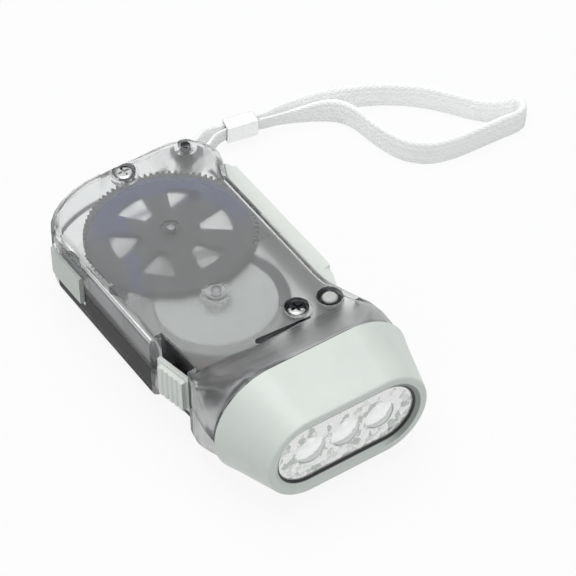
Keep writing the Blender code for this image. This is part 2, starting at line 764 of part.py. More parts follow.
LENS_FRONT = RIM_THICKNESS + GAP - BEZEL_LENGTH
REFLECTOR_FRONT = LENS_FRONT + LENS_THICKNESS + GAP
REFLECTOR_BACK = REFLECTOR_FRONT + REFLECTOR_DEPTH
LED_BACK = REFLECTOR_BACK + GAP + LED_FLANGE_THICKNESS
BOARD_FRONT = LED_BACK + GAP
LAMP_PLACES = {"left": -LENS_PITCH, "centre": 0, "right": LENS_PITCH}
FACING_FRONT = Matrix.Rotation(math.pi / 2, 4, "X")


def dome_profile():
    """Half of a shallow dome from its rim, which sits a little inside the plate, to its top."""
    sphere = (DOME_RADIUS ** 2 + DOME_HEIGHT ** 2) / (2 * DOME_HEIGHT)
    reach = math.asin(DOME_RADIUS / sphere)
    profile = [(DOME_RADIUS, -LENS_THICKNESS / 2)]
    for step in range(ARC_STEPS):
        a = reach * (1 - step / ARC_STEPS)
        profile.append((sphere * math.sin(a), DOME_HEIGHT - sphere * (1 - math.cos(a))))
    profile.append((DOME_RADIUS / ARC_STEPS / 2, DOME_HEIGHT))
    return profile


def make_lens(made):
    half = [size + LENS_LIP for size in WINDOW_HALF]
    plate = [(y, *half) for y in (LENS_FRONT + LENS_THICKNESS, LENS_FRONT)]
    lens = place("front_lens", along_y("front_lens", plate), made)
    bm = bmesh.new()
    for x in LAMP_PLACES.values():
        add_turned(bm, dome_profile(), (x, 0), SMALL_STEPS)
    bm.transform(Matrix.Translation((0, LENS_FRONT, 0)) @ FACING_FRONT)
    combine(lens, cutter("lens_domes", finish(bm, "lens_domes")), "UNION")
    return lens


def make_reflector(made):
    """A straight block that clears the hollow of the lamp head where that is narrowest, with a cup for each lamp."""
    half = [size - BEZEL_WALL - clearance
            for size, clearance in zip(bezel_half(REFLECTOR_FRONT), REFLECTOR_CLEARANCE)]
    block = [(REFLECTOR_BACK, *half), (REFLECTOR_FRONT, *half)]
    reflector = place("reflector", along_y("reflector", block), made)
    neck = LED_RADIUS + GAP
    bm = bmesh.new()
    for x in LAMP_PLACES.values():
        profile = [(neck, -OVERRUN), (neck, LED_FLANGE_THICKNESS), (CUP_RADIUS, REFLECTOR_DEPTH),
                   (CUP_RADIUS, REFLECTOR_DEPTH + OVERRUN)]
        add_turned(bm, profile, (x, 0), SMALL_STEPS)
    bm.transform(Matrix.Translation((0, REFLECTOR_BACK, 0)) @ FACING_FRONT)
    combine(reflector, cutter("cups", finish(bm, "cups")), "DIFFERENCE")
    return reflector


def make_leds(made):
    """Round-nosed lamps on their flanges. The three share one mesh."""
    flange = LED_RADIUS + LED_FLANGE
    profile = [(flange, 0), (flange, LED_FLANGE_THICKNESS), (LED_RADIUS, LED_FLANGE_THICKNESS)]
    straight = LED_LENGTH - LED_RADIUS
    for step in range(ARC_STEPS):
        a = math.pi / 2 * step / ARC_STEPS
        profile.append((LED_RADIUS * math.cos(a), straight + LED_RADIUS * math.sin(a)))
    mesh = turned("led", profile, SMALL_STEPS)
    mesh.transform(FACING_FRONT)
    for side, x in LAMP_PLACES.items():
        place("led_" + side, mesh, made, (x, LED_BACK, 0))


def make_board(made):
    bm = bmesh.new()
    half_x, half_z = BOARD_HALF
    add_box(bm, (-half_x, BOARD_FRONT, -half_z), (half_x, BOARD_FRONT + BOARD_THICKNESS, half_z))
    place("led_board", finish(bm, "led_board"), made)


def lever_outline():
    """The lever from above: along the body's side, round the tail end, back outside, round the head end."""
    points = []
    for step in range(ARC_STEPS + 1):
        share = step / ARC_STEPS
        y = LEVER_FRONT_Y - LEVER_WALL * 3 + (BULGE_START - LEVER_FRONT_Y + LEVER_WALL * 3) * share
        points.append((LEVER_INNER_X, y))
    for step in range(1, ARC_STEPS + 1):
        y = BULGE_START + (LEVER_END_Y - BULGE_START) * step / ARC_STEPS
        points.append((right_side(y) + LEVER_CASE_GAP, y))
    tail_width = LEVER_OUTER_X - right_side(LEVER_END_Y) - LEVER_CASE_GAP
    for step in range(1, ARC_STEPS + 1):
        a = math.pi / 2 * (1 - step / ARC_STEPS)
        x = LEVER_OUTER_X - tail_width * (1 - math.cos(a))
        points.append((x, LEVER_BACK_Y + (LEVER_END_Y - LEVER_BACK_Y) * math.sin(a)))
    for step in range(ARC_STEPS + 1):
        a = math.radians(LEVER_NOSE_DEG) * step / ARC_STEPS
        x = LEVER_OUTER_X - LEVER_NOSE_RADIUS * (1 - math.cos(a))
        points.append((x, LEVER_FRONT_Y - LEVER_NOSE_RADIUS * math.sin(a)))
    points.append((PIVOT_X + EYE_RADIUS, PIVOT_Y))
    points.append((PIVOT_X, PIVOT_Y - EYE_RADIUS / 2))
    return points


def make_lever(made):
    """The lever about its pivot: a rounded bar, hollow towards the body, with two knuckles on the pin."""
    bm = bmesh.new()
    outline = [(x - PIVOT_X, y - PIVOT_Y) for x, y in lever_outline()]
    add_prism(bm, outline, -LEVER_HALF_HEIGHT, LEVER_HALF_HEIGHT)
    outer = LEVER_INNER_X + LEVER_CASE_GAP + LEVER_EDGE - PIVOT_X
    rims = [edge for edge in bm.edges if all(abs(abs(v.co.z) - LEVER_HALF_HEIGHT) < GAP for v in edge.verts)
            and edge.verts[0].co.z * edge.verts[1].co.z > 0 and min(v.co.x for v in edge.verts) > outer]
    bmesh.ops.bevel(bm, geom=rims, offset=LEVER_EDGE, segments=4, profile=0.5, affect="EDGES")
    lever = place("squeeze_lever", finish(bm, "squeeze_lever"), made, (PIVOT_X, PIVOT_Y, 0))

    eye = bmesh.new()
    add_turned(eye, [(EYE_RADIUS, -LEVER_HALF_HEIGHT), (EYE_RADIUS, LEVER_HALF_HEIGHT)], steps=ROUND_STEPS)
    combine(lever, moving_tool(lever, "lever_eye", eye), "UNION")

    inside = LEVER_HALF_HEIGHT - LEVER_WALL
    hollow = bmesh.new()
    low = (LEVER_INNER_X - OVERRUN - PIVOT_X, LEVER_FRONT_Y - 2 * LEVER_WALL - PIVOT_Y, -inside)
    high = (LEVER_OUTER_X - LEVER_WALL - PIVOT_X, LEVER_BACK_Y + LEVER_WALL - PIVOT_Y, inside)
    add_box(hollow, low, high)
    combine(lever, moving_tool(lever, "lever_hollow", hollow), "DIFFERENCE")

    gap = bmesh.new()
    reach = EYE_RADIUS + GAP + SPRING_WIRE_RADIUS * 2
    add_turned(gap, [(reach, -EYE_GAP_HALF), (reach, EYE_GAP_HALF)])
    combine(lever, moving_tool(lever, "spring_space", gap), "DIFFERENCE")
    bore = bmesh.new()
    add_turned(bore, [(PIN_RADIUS + GAP, -CASE_HALF_HEIGHT), (PIN_RADIUS + GAP, CASE_HALF_HEIGHT)])
    combine(lever, moving_tool(lever, "pin_bore", bore), "DIFFERENCE")

    slot = bmesh.new()
    leg = SPRING_WIRE_RADIUS + 2 * GAP
    add_box(slot, (-leg, 0, -EYE_GAP_HALF), (SPRING_RADIUS + leg, SPRING_SLOT_LENGTH + 2 * leg, EYE_GAP_HALF))
    combine(lever, moving_tool(lever, "spring_slot", slot), "DIFFERENCE")

    seat = bmesh.new()
    low = (LEVER_INNER_X + LEVER_WALL / 2 - PIVOT_X, BULGE_START - LEVER_WALL - PIVOT_Y,
           -inside - LEVER_WALL / 2)
    high = (LEVER_OUTER_X - LEVER_WALL / 2 - PIVOT_X, LEVER_BACK_Y - PIVOT_Y, RACK_BOTTOM - GAP)
    add_box(seat, low, high)
    combine(lever, moving_tool(lever, "rack_seat", seat), "UNION")
    return lever


def moving_tool(owner, name, bm):
    """A helper that shares the place of the piece it works on."""
    tool = cutter(name, finish(bm, name))
    tool.location = owner.location
    return tool


def polar(radius, angle):
    return (radius * math.cos(angle), radius * math.sin(angle))


def make_lever_rack(made):
    """A toothed sector about the lever's pivot, its teeth inwards, with a plain arm to the lever."""
    pitch = 2 * math.pi / RACK_TEETH
    radius = RACK_MODULE * RACK_TEETH / 2
    tip = radius - RACK_ADDENDUM
    foot = radius + RACK_DEDENDUM
    outer = foot + RACK_BACKING
    mesh_angle = math.atan2(GEAR_Y - PIVOT_Y, GEAR_X - PIVOT_X)
    first = mesh_angle - RACK_LEAD_TEETH * pitch
    inner = []
    for tooth in range(RACK_CUT_TEETH):
        middle = first + (tooth + 1 / 2) * pitch
        for r, share in ((foot, -ROOT_SHARE), (tip, -TIP_SHARE), (tip, TIP_SHARE), (foot, ROOT_SHARE)):
            inner.append(polar(r, middle + share * pitch / 2))
    last = first + RACK_CUT_TEETH * pitch
    start = mesh_angle - math.radians(RACK_ARM_DEG)
    points = []
    for step in range(ARC_STEPS + 1):
        points.append(polar(foot, start + (first - start) * step / ARC_STEPS))
    points += inner
    for step in range(2 * CORNER_STEPS + 1):
        points.append(polar(outer, last + (start - last) * step / (2 * CORNER_STEPS)))
    place("lever_rack", prism("lever_rack", points, RACK_BOTTOM, RACK_TOP), made, (PIVOT_X, PIVOT_Y, 0))


def toothed(teeth, pitch_radius, phase, addendum=ADDENDUM, dedendum=DEDENDUM):
    """A gear's outline, one tooth centred at the angle phase."""
    pitch = 2 * math.pi / teeth
    points = []
    for tooth in range(teeth):
        for r, share in ((-dedendum, -ROOT_SHARE), (addendum, -TIP_SHARE),
                         (addendum, TIP_SHARE), (-dedendum, ROOT_SHARE)):
            points.append(polar(pitch_radius + r, phase + (tooth + share / 2) * pitch))
    return points


def bored_wheel(name, outline, bottom, top, made, centre, extra=()):
    """A wheel on a fixed shaft, with further cutters or rims."""
    bm = bmesh.new()
    add_prism(bm, outline, bottom, top)
    wheel = place(name, finish(bm, name), made, (*centre, 0))
    for operation, label, tool in extra:
        combine(wheel, moving_tool(wheel, label, tool), operation)
    bore = bmesh.new()
    shaft = SHAFT_RADIUS + GAP
    add_turned(bore, [(shaft, bottom - OVERRUN), (shaft, top + OVERRUN)], steps=SMALL_STEPS)
    combine(wheel, moving_tool(wheel, name + "_bore", bore), "DIFFERENCE")
    return wheel


def window_outline(middle):
    """One rounded opening of the drive gear: a sector drawn in at its hub side."""
    half = math.radians(WINDOW_DEG) / 2
    points = []
    for step in range(ARC_STEPS + 1):
        points.append(polar(WINDOW_OUTER, middle - half + 2 * half * step / ARC_STEPS))
    for step in range(ARC_STEPS // 2 + 1):
        points.append(polar(WINDOW_INNER, middle + half * (1 - 4 * step / ARC_STEPS) * 2 / 3))
    return points


def make_gear_train(plastic):
    bearing = math.radians(ROTOR_BEARING_DEG)
    rack_angle = math.atan2(GEAR_Y - PIVOT_Y, GEAR_X - PIVOT_X)
    gear_centre = (GEAR_X, GEAR_Y)
    teeth = toothed(PINION_TEETH, RACK_MODULE * PINION_TEETH / 2, rack_angle, RACK_ADDENDUM, RACK_DEDENDUM)
    bored_wheel("rack_pinion", teeth, RACK_BOTTOM, RACK_TOP, plastic, gear_centre)
    pawl = []
    for step in range(SMALL_STEPS * 2):
        turn = step / (SMALL_STEPS * 2)
        pawl.append(polar(PAWL_RADIUS * (1 - (3 * turn % 1) / 3), 2 * math.pi * turn))
    pawl_bottom = RACK_TOP + GAP
    bored_wheel("ratchet_pawl", pawl, pawl_bottom, pawl_bottom + PAWL_THICKNESS, plastic, gear_centre)

    windows = bmesh.new()
    for number in range(WINDOW_COUNT):
        middle = math.radians(WINDOW_PHASE_DEG) + 2 * math.pi * number / WINDOW_COUNT
        add_prism(windows, window_outline(middle), DRIVE_BOTTOM - OVERRUN, DRIVE_TOP + OVERRUN)
    teeth = toothed(DRIVE_TEETH, MODULE * DRIVE_TEETH / 2, bearing)
    bored_wheel("drive_gear", teeth, DRIVE_BOTTOM, DRIVE_TOP, plastic, gear_centre,
                [("DIFFERENCE", "gear_windows", windows)])

    phase = bearing + math.pi + math.pi / ROTOR_TEETH
    teeth = toothed(ROTOR_TEETH, MODULE * ROTOR_TEETH / 2, phase)
    bored_wheel("rotor_pinion", teeth, FLYWHEEL_TOP + GAP, DRIVE_TOP, plastic, (ROTOR_X, ROTOR_Y))


def make_shafts(made):
    top = CEILING + WALL / 2
    radius = SHAFT_RADIUS
    gear_bottom = GAP - CEILING
    place("gear_shaft", turned("gear_shaft", [(radius, gear_bottom), (radius, top)], SMALL_STEPS), made,
          (GEAR_X, GEAR_Y, 0))
    rotor_bottom = gear_bottom + STATOR_BASE_THICKNESS + GAP
    place("rotor_shaft", turned("rotor_shaft", [(radius, rotor_bottom), (radius, top)], SMALL_STEPS), made,
          (ROTOR_X, ROTOR_Y, 0))


def make_rotor(disc_made, magnet_made):
    """The disc with its hub underneath, and the ring magnet round it."""
    centre = (ROTOR_X, ROTOR_Y, 0)
    shaft = SHAFT_RADIUS + GAP
    hub_bottom = POLES_TOP + 2 * GAP
    profile = [(shaft, hub_bottom), (HUB_RADIUS, hub_bottom), (HUB_RADIUS, FLYWHEEL_BOTTOM),
               (FLYWHEEL_RADIUS, FLYWHEEL_BOTTOM), (FLYWHEEL_RADIUS, FLYWHEEL_TOP), (shaft, FLYWHEEL_TOP)]
    place("flywheel", turned_ring("flywheel", profile, FLYWHEEL_STEPS), disc_made, centre)
    ring = tube("ring_magnet", FLYWHEEL_RADIUS + GAP, MAGNET_RADIUS, MAGNET_BOTTOM, FLYWHEEL_TOP,
                FLYWHEEL_STEPS)
    place("ring_magnet", ring, magnet_made, centre)


def make_stator(metal, bobbin_made, copper):
    """From the floor up: the base, the bobbin with its winding, and the poles under the magnet."""
    centre = (ROTOR_X, ROTOR_Y, 0)
    base_bottom = GAP - CEILING
    base_top = base_bottom + STATOR_BASE_THICKNESS
    base = turned("stator_base", [(BOBBIN_RADIUS, base_bottom), (BOBBIN_RADIUS, base_top)])
    place("stator_base", base, metal, centre)
    bottom = base_top + GAP
    top = POLES_BOTTOM - GAP
    core = BOBBIN_CORE_RADIUS
    hole = SHAFT_RADIUS + GAP
    low_flange = bottom + BOBBIN_FLANGE
    high_flange = top - BOBBIN_FLANGE
    profile = [(hole, bottom), (BOBBIN_RADIUS, bottom), (BOBBIN_RADIUS, low_flange), (core, low_flange),
               (core, high_flange), (BOBBIN_RADIUS, high_flange), (BOBBIN_RADIUS, top), (hole, top)]
    place("coil_bobbin", turned_ring("coil_bobbin", profile), bobbin_made, centre)
    winding = tube("coil_winding", core + GAP, WINDING_RADIUS, low_flange + GAP, high_flange - GAP)
    place("coil_winding", winding, copper, centre)
    poles = []
    for pole in range(POLE_COUNT):
        root_point, tip_point = POLE_ROOT_RADIUS, POLE_TIP_RADIUS
        for radius, share in ((root_point, -ROOT_SHARE), (tip_point, -ROOT_SHARE), (tip_point, ROOT_SHARE),
                              (root_point, ROOT_SHARE)):
            poles.append(polar(radius, 2 * math.pi * (pole + share / 2) / POLE_COUNT))
    bored_wheel("stator_poles", poles, POLES_BOTTOM, POLES_TOP, metal, (ROTOR_X, ROTOR_Y))


def curve_tube(name, points, made, radius, resolution=2, flat=0, shares=None, parent=None):
    """A round or flat strand along points, closed at both ends."""
    curve = bpy.data.curves.new(name, "CURVE")
    curve.dimensions = "3D"
    curve.twist_mode = "Z_UP"
    curve.bevel_depth = radius
    curve.bevel_resolution = resolution
    curve.extrude = flat
    curve.use_fill_caps = True
    spline = curve.splines.new("POLY")
    spline.points.add(len(points) - 1)
    for number, point in enumerate(points):
        spline.points[number].co = (*point, 1)
        spline.points[number].radius = shares[number] if shares else 1
    curve.materials.append(made)
    strand = bpy.data.objects.new(name, curve)
    strand.parent = parent
    bpy.context.scene.collection.objects.link(strand)
    return strand


def smooth_route(route, step):
    """Points every step along a smooth curve through the route's own points."""
    spots = [Vector(point) for point in route]
    spots = [2 * spots[0] - spots[1]] + spots + [2 * spots[-1] - spots[-2]]
    fine = []
    for p0, p1, p2, p3 in zip(spots, spots[1:], spots[2:], spots[3:]):
        for part in range(ROUTE_STEPS):
            t = part / ROUTE_STEPS
            fine.append(((2 * p1) + (p2 - p0) * t + (2 * p0 - 5 * p1 + 4 * p2 - p3) * t ** 2
                         + (3 * p1 - p0 - 3 * p2 + p3) * t ** 3) / 2)
    fine.append(spots[-2])
    lengths = [0]
    for before, after in zip(fine, fine[1:]):
        lengths.append(lengths[-1] + (after - before).length)
    count = max(round(lengths[-1] / step), 2)
    points = []
    for number in range(count + 1):
        wanted = lengths[-1] * number / count
        after = next(i for i, length in enumerate(lengths) if length >= wanted - GAP / 1000)
        before = max(after - 1, 0)
        span = lengths[after] - lengths[before]
        share = (wanted - lengths[before]) / span if span else 0
        points.append(fine[before].lerp(fine[after], share))
    return points, lengths[-1]


def make_lever_spring(made):
    """The torsion spring between the knuckles, one leg towards the body and one along the lever."""
    height = 2 * (EYE_GAP_HALF - GAP - SPRING_WIRE_RADIUS)
    points = []
    count = round(SPRING_CURLS * CURL_STEPS)
    for step in range(count + 1):
        a = math.pi / 2 + 2 * math.pi * step / CURL_STEPS
        points.append((*polar(SPRING_RADIUS, a), height * (step / count - 1 / 2)))
    first = Vector(points[0])
    points.insert(0, tuple(first + Vector((-SPRING_RADIUS, -SPRING_WIRE_RADIUS, 0))))
    last = Vector(points[-1])
    along = Vector((-last.y, last.x, 0)).normalized()
    points.append(tuple(last + along * SPRING_RADIUS))
    spring = curve_tube("lever_spring", points, made, SPRING_WIRE_RADIUS, 1, parent=root)
    spring.location = (PIVOT_X, PIVOT_Y, 0)
    apart = height / SPRING_CURLS - 2 * SPRING_WIRE_RADIUS
    print("lever_spring: least gap between curls", round(apart * 1000, 2), "mm")


def make_pivot_pin(made):
    bottom = GAP - CEILING
    head = CASE_HALF_HEIGHT - PIN_RING_DEPTH + GAP
    profile = [(PIN_RADIUS, bottom), (PIN_RADIUS, head), (PIN_HEAD_RADIUS, head),
               (PIN_HEAD_RADIUS, head + PIN_HEAD_HEIGHT / 2), (PIN_RADIUS, head + PIN_HEAD_HEIGHT)]
    place("lever_pivot_pin", turned("lever_pivot_pin", profile, SMALL_STEPS), made, (PIVOT_X, PIVOT_Y, 0))


def make_screws(made):
    """Cross-head screws. Both share one mesh."""
    top = RECESS_FLOOR + GAP + SCREW_HEAD_HEIGHT
    point = top - SCREW_LENGTH
    profile = [(SCREW_SHANK_RADIUS / 2, point), (SCREW_SHANK_RADIUS, point + SCREW_SHANK_RADIUS),
               (SCREW_SHANK_RADIUS, RECESS_FLOOR + GAP), (SCREW_HEAD_RADIUS, RECESS_FLOOR + GAP),
               (SCREW_HEAD_RADIUS, top - SCREW_HEAD_HEIGHT / 3), (SCREW_HEAD_RADIUS * 3 / 4, top)]
    mesh = turned("case_screw", profile, SMALL_STEPS)
    reach = SCREW_HEAD_RADIUS * 2 / 3
    half = CROSS_WIDTH / 2
    arms = [(half, half), (half, reach), (-half, reach), (-half, half), (-reach, half), (-reach, -half),
            (-half, -half), (-half, -reach), (half, -reach), (half, -half), (reach, -half), (reach, half)]
    for name, centre in (("case_screw_tail", TAIL_SCREW), ("case_screw_head", HEAD_SCREW)):
        screw = place(name, mesh.copy(), made, (*centre, 0))
        cross = cutter(name + "_cross", prism(name + "_cross", arms, top - CROSS_DEPTH, top + OVERRUN))
        cross.location = screw.location
        combine(screw, cross, "DIFFERENCE")


def make_lock_button(made):
    """A curved button that follows the corner of the body, with its spring arm inside the side wall."""
    outside = []
    inside = []
    steps = 2 * ARC_STEPS
    for step in range(steps + 1):
        y = LOCK_START_Y + (LOCK_END_Y - LOCK_START_Y) * step / steps
        outside.append((left_side(y) - LOCK_PROUD, y))
        inside.append((left_side(y) + WALL + GAP, y))
    bm = bmesh.new()
    add_prism(bm, outside + list(reversed(inside)), -LOCK_HALF_HEIGHT, LOCK_HALF_HEIGHT)
    button = place("lock_button", finish(bm, "lock_button"), made)
    arm = bmesh.new()
    inner = -CASE_LEFT + WALL
    add_box(arm, (inner + 2 * GAP, LATCH_START_Y, -LATCH_HALF_HEIGHT),
            (inner + 2 * GAP + LATCH_THICKNESS, LOCK_START_Y + LOCK_LIP, LATCH_HALF_HEIGHT))
    combine(button, cutter("latch_arm", finish(arm, "latch_arm")), "UNION")
    root_block = bmesh.new()
    add_box(root_block, (inner - WALL / 2, LOCK_START_Y + GAP, -LATCH_HALF_HEIGHT * 2),
            (inner + 2 * GAP + LATCH_THICKNESS / 2, LOCK_START_Y + LOCK_LIP, LATCH_HALF_HEIGHT * 2))
    combine(button, cutter("latch_root", finish(root_block, "latch_root")), "UNION")
    return button


def make_switch(button_made, body_made):
    """The slide, its grip and stem about the middle of the slide, and the switch behind the notch wall."""
    turn = math.radians(SWITCH_TURN_DEG)
    bm = bmesh.new()
    half = SWITCH_THICKNESS / 2
    add_box(bm, (-half, -SWITCH_LENGTH / 2, -SWITCH_HALF_HEIGHT),
            (half, SWITCH_LENGTH / 2, SWITCH_HALF_HEIGHT))
    button = place("switch_button", finish(bm, "switch_button"), button_made, (SWITCH_X, SWITCH_Y, 0))
    button.rotation_euler.z = turn
    grip = bmesh.new()
    add_box(grip, (-half - GRIP_HEIGHT, -GRIP_LENGTH / 2, -GRIP_HALF_HEIGHT),
            (0, GRIP_LENGTH / 2, GRIP_HALF_HEIGHT))
    combine(button, turned_tool(button, "grip", grip), "UNION")
    grooves = bmesh.new()
    face = -half - GRIP_HEIGHT
    pitch = GRIP_LENGTH / GRIP_GROOVES
    for number in range(GRIP_GROOVES - 1):
        middle = (number + 1) * pitch - GRIP_LENGTH / 2
        floor = face - GRIP_GROOVE_DEPTH
        outline = [(face + GRIP_GROOVE_DEPTH, middle), (floor, middle + 2 * GRIP_GROOVE_DEPTH),
                   (floor, middle - 2 * GRIP_GROOVE_DEPTH)]
        add_prism(grooves, outline, -GRIP_HALF_HEIGHT - OVERRUN, GRIP_HALF_HEIGHT + OVERRUN)
    combine(button, turned_tool(button, "grip_grooves", grooves), "DIFFERENCE")
    stem = bmesh.new()
    side = STEM_LENGTH / 2
    add_box(stem, (0, -side - STEM_BACK, -side), (STEM_REACH, side - STEM_BACK, side))
    combine(button, turned_tool(button, "stem", stem), "UNION")

    body = bmesh.new()
    length, width, height = [size / 2 for size in SWITCH_BODY]
    add_box(body, (-length, -width, -height), (length, width, height))
    switch = place("switch_body", finish(body, "switch_body"), body_made,
                   (SWITCH_BODY_X, SWITCH_BODY_Y, -POLES_TOP))
    return button, switch


def turned_tool(owner, name, bm):
    tool = moving_tool(owner, name, bm)
    tool.rotation_euler = owner.rotation_euler
    return tool


def make_cells(steel):
    """Three button cells in a row between two contact plates. The cells share one mesh, so do the plates."""
    mesh = turned("cell", [(CELL_RADIUS - GAP, 0), (CELL_RADIUS, GAP), (CELL_RADIUS, CELL_THICKNESS - GAP),
                           (CELL_RADIUS - GAP, CELL_THICKNESS)])
    mesh.transform(Matrix.Rotation(math.pi / 2, 4, "Y"))
    for number, name in enumerate(("cell_left", "cell_centre", "cell_right")):
        x = CELL_FIRST_X + number * (CELL_THICKNESS + GAP) - CELL_THICKNESS / 2
        place(name, mesh, steel, (x, CELL_Y, CELL_Z))
    left = CELL_FIRST_X - CELL_THICKNESS / 2 - GAP - CONTACT_THICKNESS
    right = CELL_FIRST_X + 5 / 2 * CELL_THICKNESS + 3 * GAP
    bm = bmesh.new()
    add_box(bm, (0, -CONTACT_HALF, -CONTACT_HALF), (CONTACT_THICKNESS, CONTACT_HALF, CONTACT_HALF))
    plate = finish(bm, "contact")
    place("contact_left", plate, steel, (left, CELL_Y, CELL_Z))
    place("contact_right", plate, steel, (right, CELL_Y, CELL_Z))


def make_coil_wire(made):
    """The blue lead, round under the drive gear and down the left side to the coil."""
    points = []
    for step in range(CORNER_STEPS * 2):
        a = math.radians(WIRE_ARC_START_DEG + WIRE_ARC_DEG * step / (CORNER_STEPS * 2))
        points.append((GEAR_X + WIRE_ARC_RADIUS * math.cos(a), GEAR_Y + WIRE_ARC_RADIUS * math.sin(a),
                       WIRE_LEVEL))
    down = Vector((GEAR_X - WIRE_ARC_RADIUS, GEAR_Y, WIRE_LEVEL))
    coil = Vector((ROTOR_X, ROTOR_Y, WIRE_LEVEL))
    end = coil + (down - coil).normalized() * (BOBBIN_RADIUS + GAP + WIRE_RADIUS)
    for step in range(ARC_STEPS + 1):
        share = step / ARC_STEPS
        spot = down.lerp(end, share)
        points.append((spot.x - 2 * WIRE_RADIUS * math.sin(math.pi * share), spot.y, WIRE_LEVEL))
    curve_tube("coil_wire", points, made, WIRE_RADIUS, 2, parent=root)


def make_strap(braid, steel, post_made):
    """The post in the tail corner, the short loop round it, the crimp and the long loop on the floor."""
    reach = CEILING - GAP
    mesh = turned("strap_post", [(STRAP_POST_RADIUS, -reach), (STRAP_POST_RADIUS, reach)], SMALL_STEPS)
    place("strap_post", mesh, post_made, (STRAP_POST_X, STRAP_POST_Y, 0))

    flat = BRAID_HALF_WIDTH - BRAID_HALF_THICKNESS
    route, length = smooth_route(WRIST_ROUTE, STRAP_STEP)
    shares = []
    for number in range(len(route)):
        along = length * min(number, len(route) - 1 - number) / (len(route) - 1)
        inside = CRIMP_LENGTH / 2
        shares.append(CRIMP_SHARE + (1 - CRIMP_SHARE) * smooth((along - inside) / (2 * CRIMP_LENGTH)))
    curve_tube("wrist_strap", route, braid, BRAID_HALF_THICKNESS, 2, flat, shares)
    print("wrist_strap: length", round(length * 1000, 1), "mm,", len(route), "points")

    post = root.matrix_world @ Vector((STRAP_POST_X, STRAP_POST_Y, 0))
    radius = STRAP_POST_RADIUS + GAP + BRAID_HALF_THICKNESS * ANCHOR_SHARE
    round_post = []
    leave = math.atan2(CRIMP_START[1] - post.y, CRIMP_START[0] - post.x)
    for step in range(CORNER_STEPS + 1):
        a = leave - math.pi / 2 - math.pi * step / CORNER_STEPS
        round_post.append((post.x + radius * math.cos(a), post.y + radius * math.sin(a), post.z))
    route, length = smooth_route(ANCHOR_FRONT[:-1] + round_post + ANCHOR_BACK[2:], STRAP_STEP / 2)
    shares = []
    for number in range(len(route)):
        along = length * min(number, len(route) - 1 - number) / (len(route) - 1)
        shares.append(CRIMP_SHARE + (ANCHOR_SHARE - CRIMP_SHARE) * smooth(along / CRIMP_LENGTH))
    curve_tube("strap_anchor_loop", route, braid, BRAID_HALF_THICKNESS, 2, flat, shares)

    make_crimp(steel)


def make_crimp(made):
    """A flat sleeve round both ends of both loops."""
    inner_y = STRAND_SPACING + BRAID_HALF_THICKNESS * CRIMP_SHARE + GAP
    inner_z = BRAID_HALF_WIDTH * CRIMP_SHARE + GAP
    half = CRIMP_LENGTH / 2
    rings = []
    for x, grown in ((-half, CRIMP_WALL), (half, CRIMP_WALL), (half, 0), (-half, 0)):
        y, z = inner_y + grown, inner_z + grown
        rings.append([(x, -y, -z), (x, y, -z), (x, y, z), (x, -y, z)])
    bm = bmesh.new()
    looped(bm, rings)
    start, end = Vector(CRIMP_START), Vector(CRIMP_END)
    sleeve = place("strap_crimp", finish(bm, "strap_crimp"), made)
    sleeve.parent = None
    sleeve.location = (start + end) / 2
    sleeve.rotation_euler.z = math.atan2(end.y - start.y, end.x - start.x)


smoke = material("smoke_clear", (0.30, 0.31, 0.32), 0.15, alpha=0.4)
pale = material("pale_plastic", (0.68, 0.72, 0.68), 0.45)
clear = material("clear_plastic", (0.9, 0.92, 0.92), 0.05, alpha=0.3)
silver = material("silvered_plastic", (0.85, 0.86, 0.86), 0.12, 1.0)
lamp = material("lamp_clear", (0.9, 0.92, 0.95), 0.1)
board = material("board", (0.06, 0.22, 0.12), 0.5)
dark = material("dark_plastic", (0.12, 0.12, 0.13), 0.5)
gear_grey = material("gear_plastic", (0.30, 0.31, 0.34), 0.45)
disc_white = material("disc_plastic", (0.72, 0.74, 0.72), 0.45)
magnet = material("magnet", (0.10, 0.10, 0.11), 0.6)
steel = material("steel", (0.70, 0.70, 0.71), 0.3, 1.0)
copper = material("copper", (0.70, 0.36, 0.20), 0.35, 1.0)
blue = material("blue_wire", (0.12, 0.16, 0.55), 0.45)
braid = material("braid", (0.80, 0.83, 0.80), 0.85)

make_top_case(smoke)
make_bottom_case(smoke)
make_bezel(pale)
make_lens(clear)
make_reflector(silver)
make_leds(lamp)
make_board(board)
make_lever(pale)
make_lever_rack(gear_grey)
make_gear_train(gear_grey)
make_shafts(steel)
make_rotor(disc_white, magnet)
make_stator(steel, dark, copper)
make_lever_spring(steel)
make_pivot_pin(pale)
make_screws(steel)
make_lock_button(pale)
make_switch(pale, dark)
make_cells(steel)
make_coil_wire(blue)
make_strap(braid, steel, dark)
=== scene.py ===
import math

import bmesh
import bpy
from mathutils import Matrix, Vector


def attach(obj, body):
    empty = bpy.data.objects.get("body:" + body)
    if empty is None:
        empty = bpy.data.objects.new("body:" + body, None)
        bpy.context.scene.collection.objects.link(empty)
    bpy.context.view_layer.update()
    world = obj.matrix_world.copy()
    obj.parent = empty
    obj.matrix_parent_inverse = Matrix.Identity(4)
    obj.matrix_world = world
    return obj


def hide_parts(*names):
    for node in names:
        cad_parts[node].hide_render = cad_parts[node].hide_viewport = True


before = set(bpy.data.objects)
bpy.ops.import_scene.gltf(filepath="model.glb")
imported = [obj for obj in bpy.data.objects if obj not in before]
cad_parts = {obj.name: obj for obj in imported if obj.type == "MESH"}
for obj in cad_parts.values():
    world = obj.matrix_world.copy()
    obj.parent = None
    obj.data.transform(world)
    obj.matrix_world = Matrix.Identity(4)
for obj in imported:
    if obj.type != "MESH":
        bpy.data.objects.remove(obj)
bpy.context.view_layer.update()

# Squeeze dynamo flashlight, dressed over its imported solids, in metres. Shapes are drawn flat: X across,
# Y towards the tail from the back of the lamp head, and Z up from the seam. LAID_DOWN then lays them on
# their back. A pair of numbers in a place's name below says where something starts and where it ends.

TILT_DEG = 4.133858
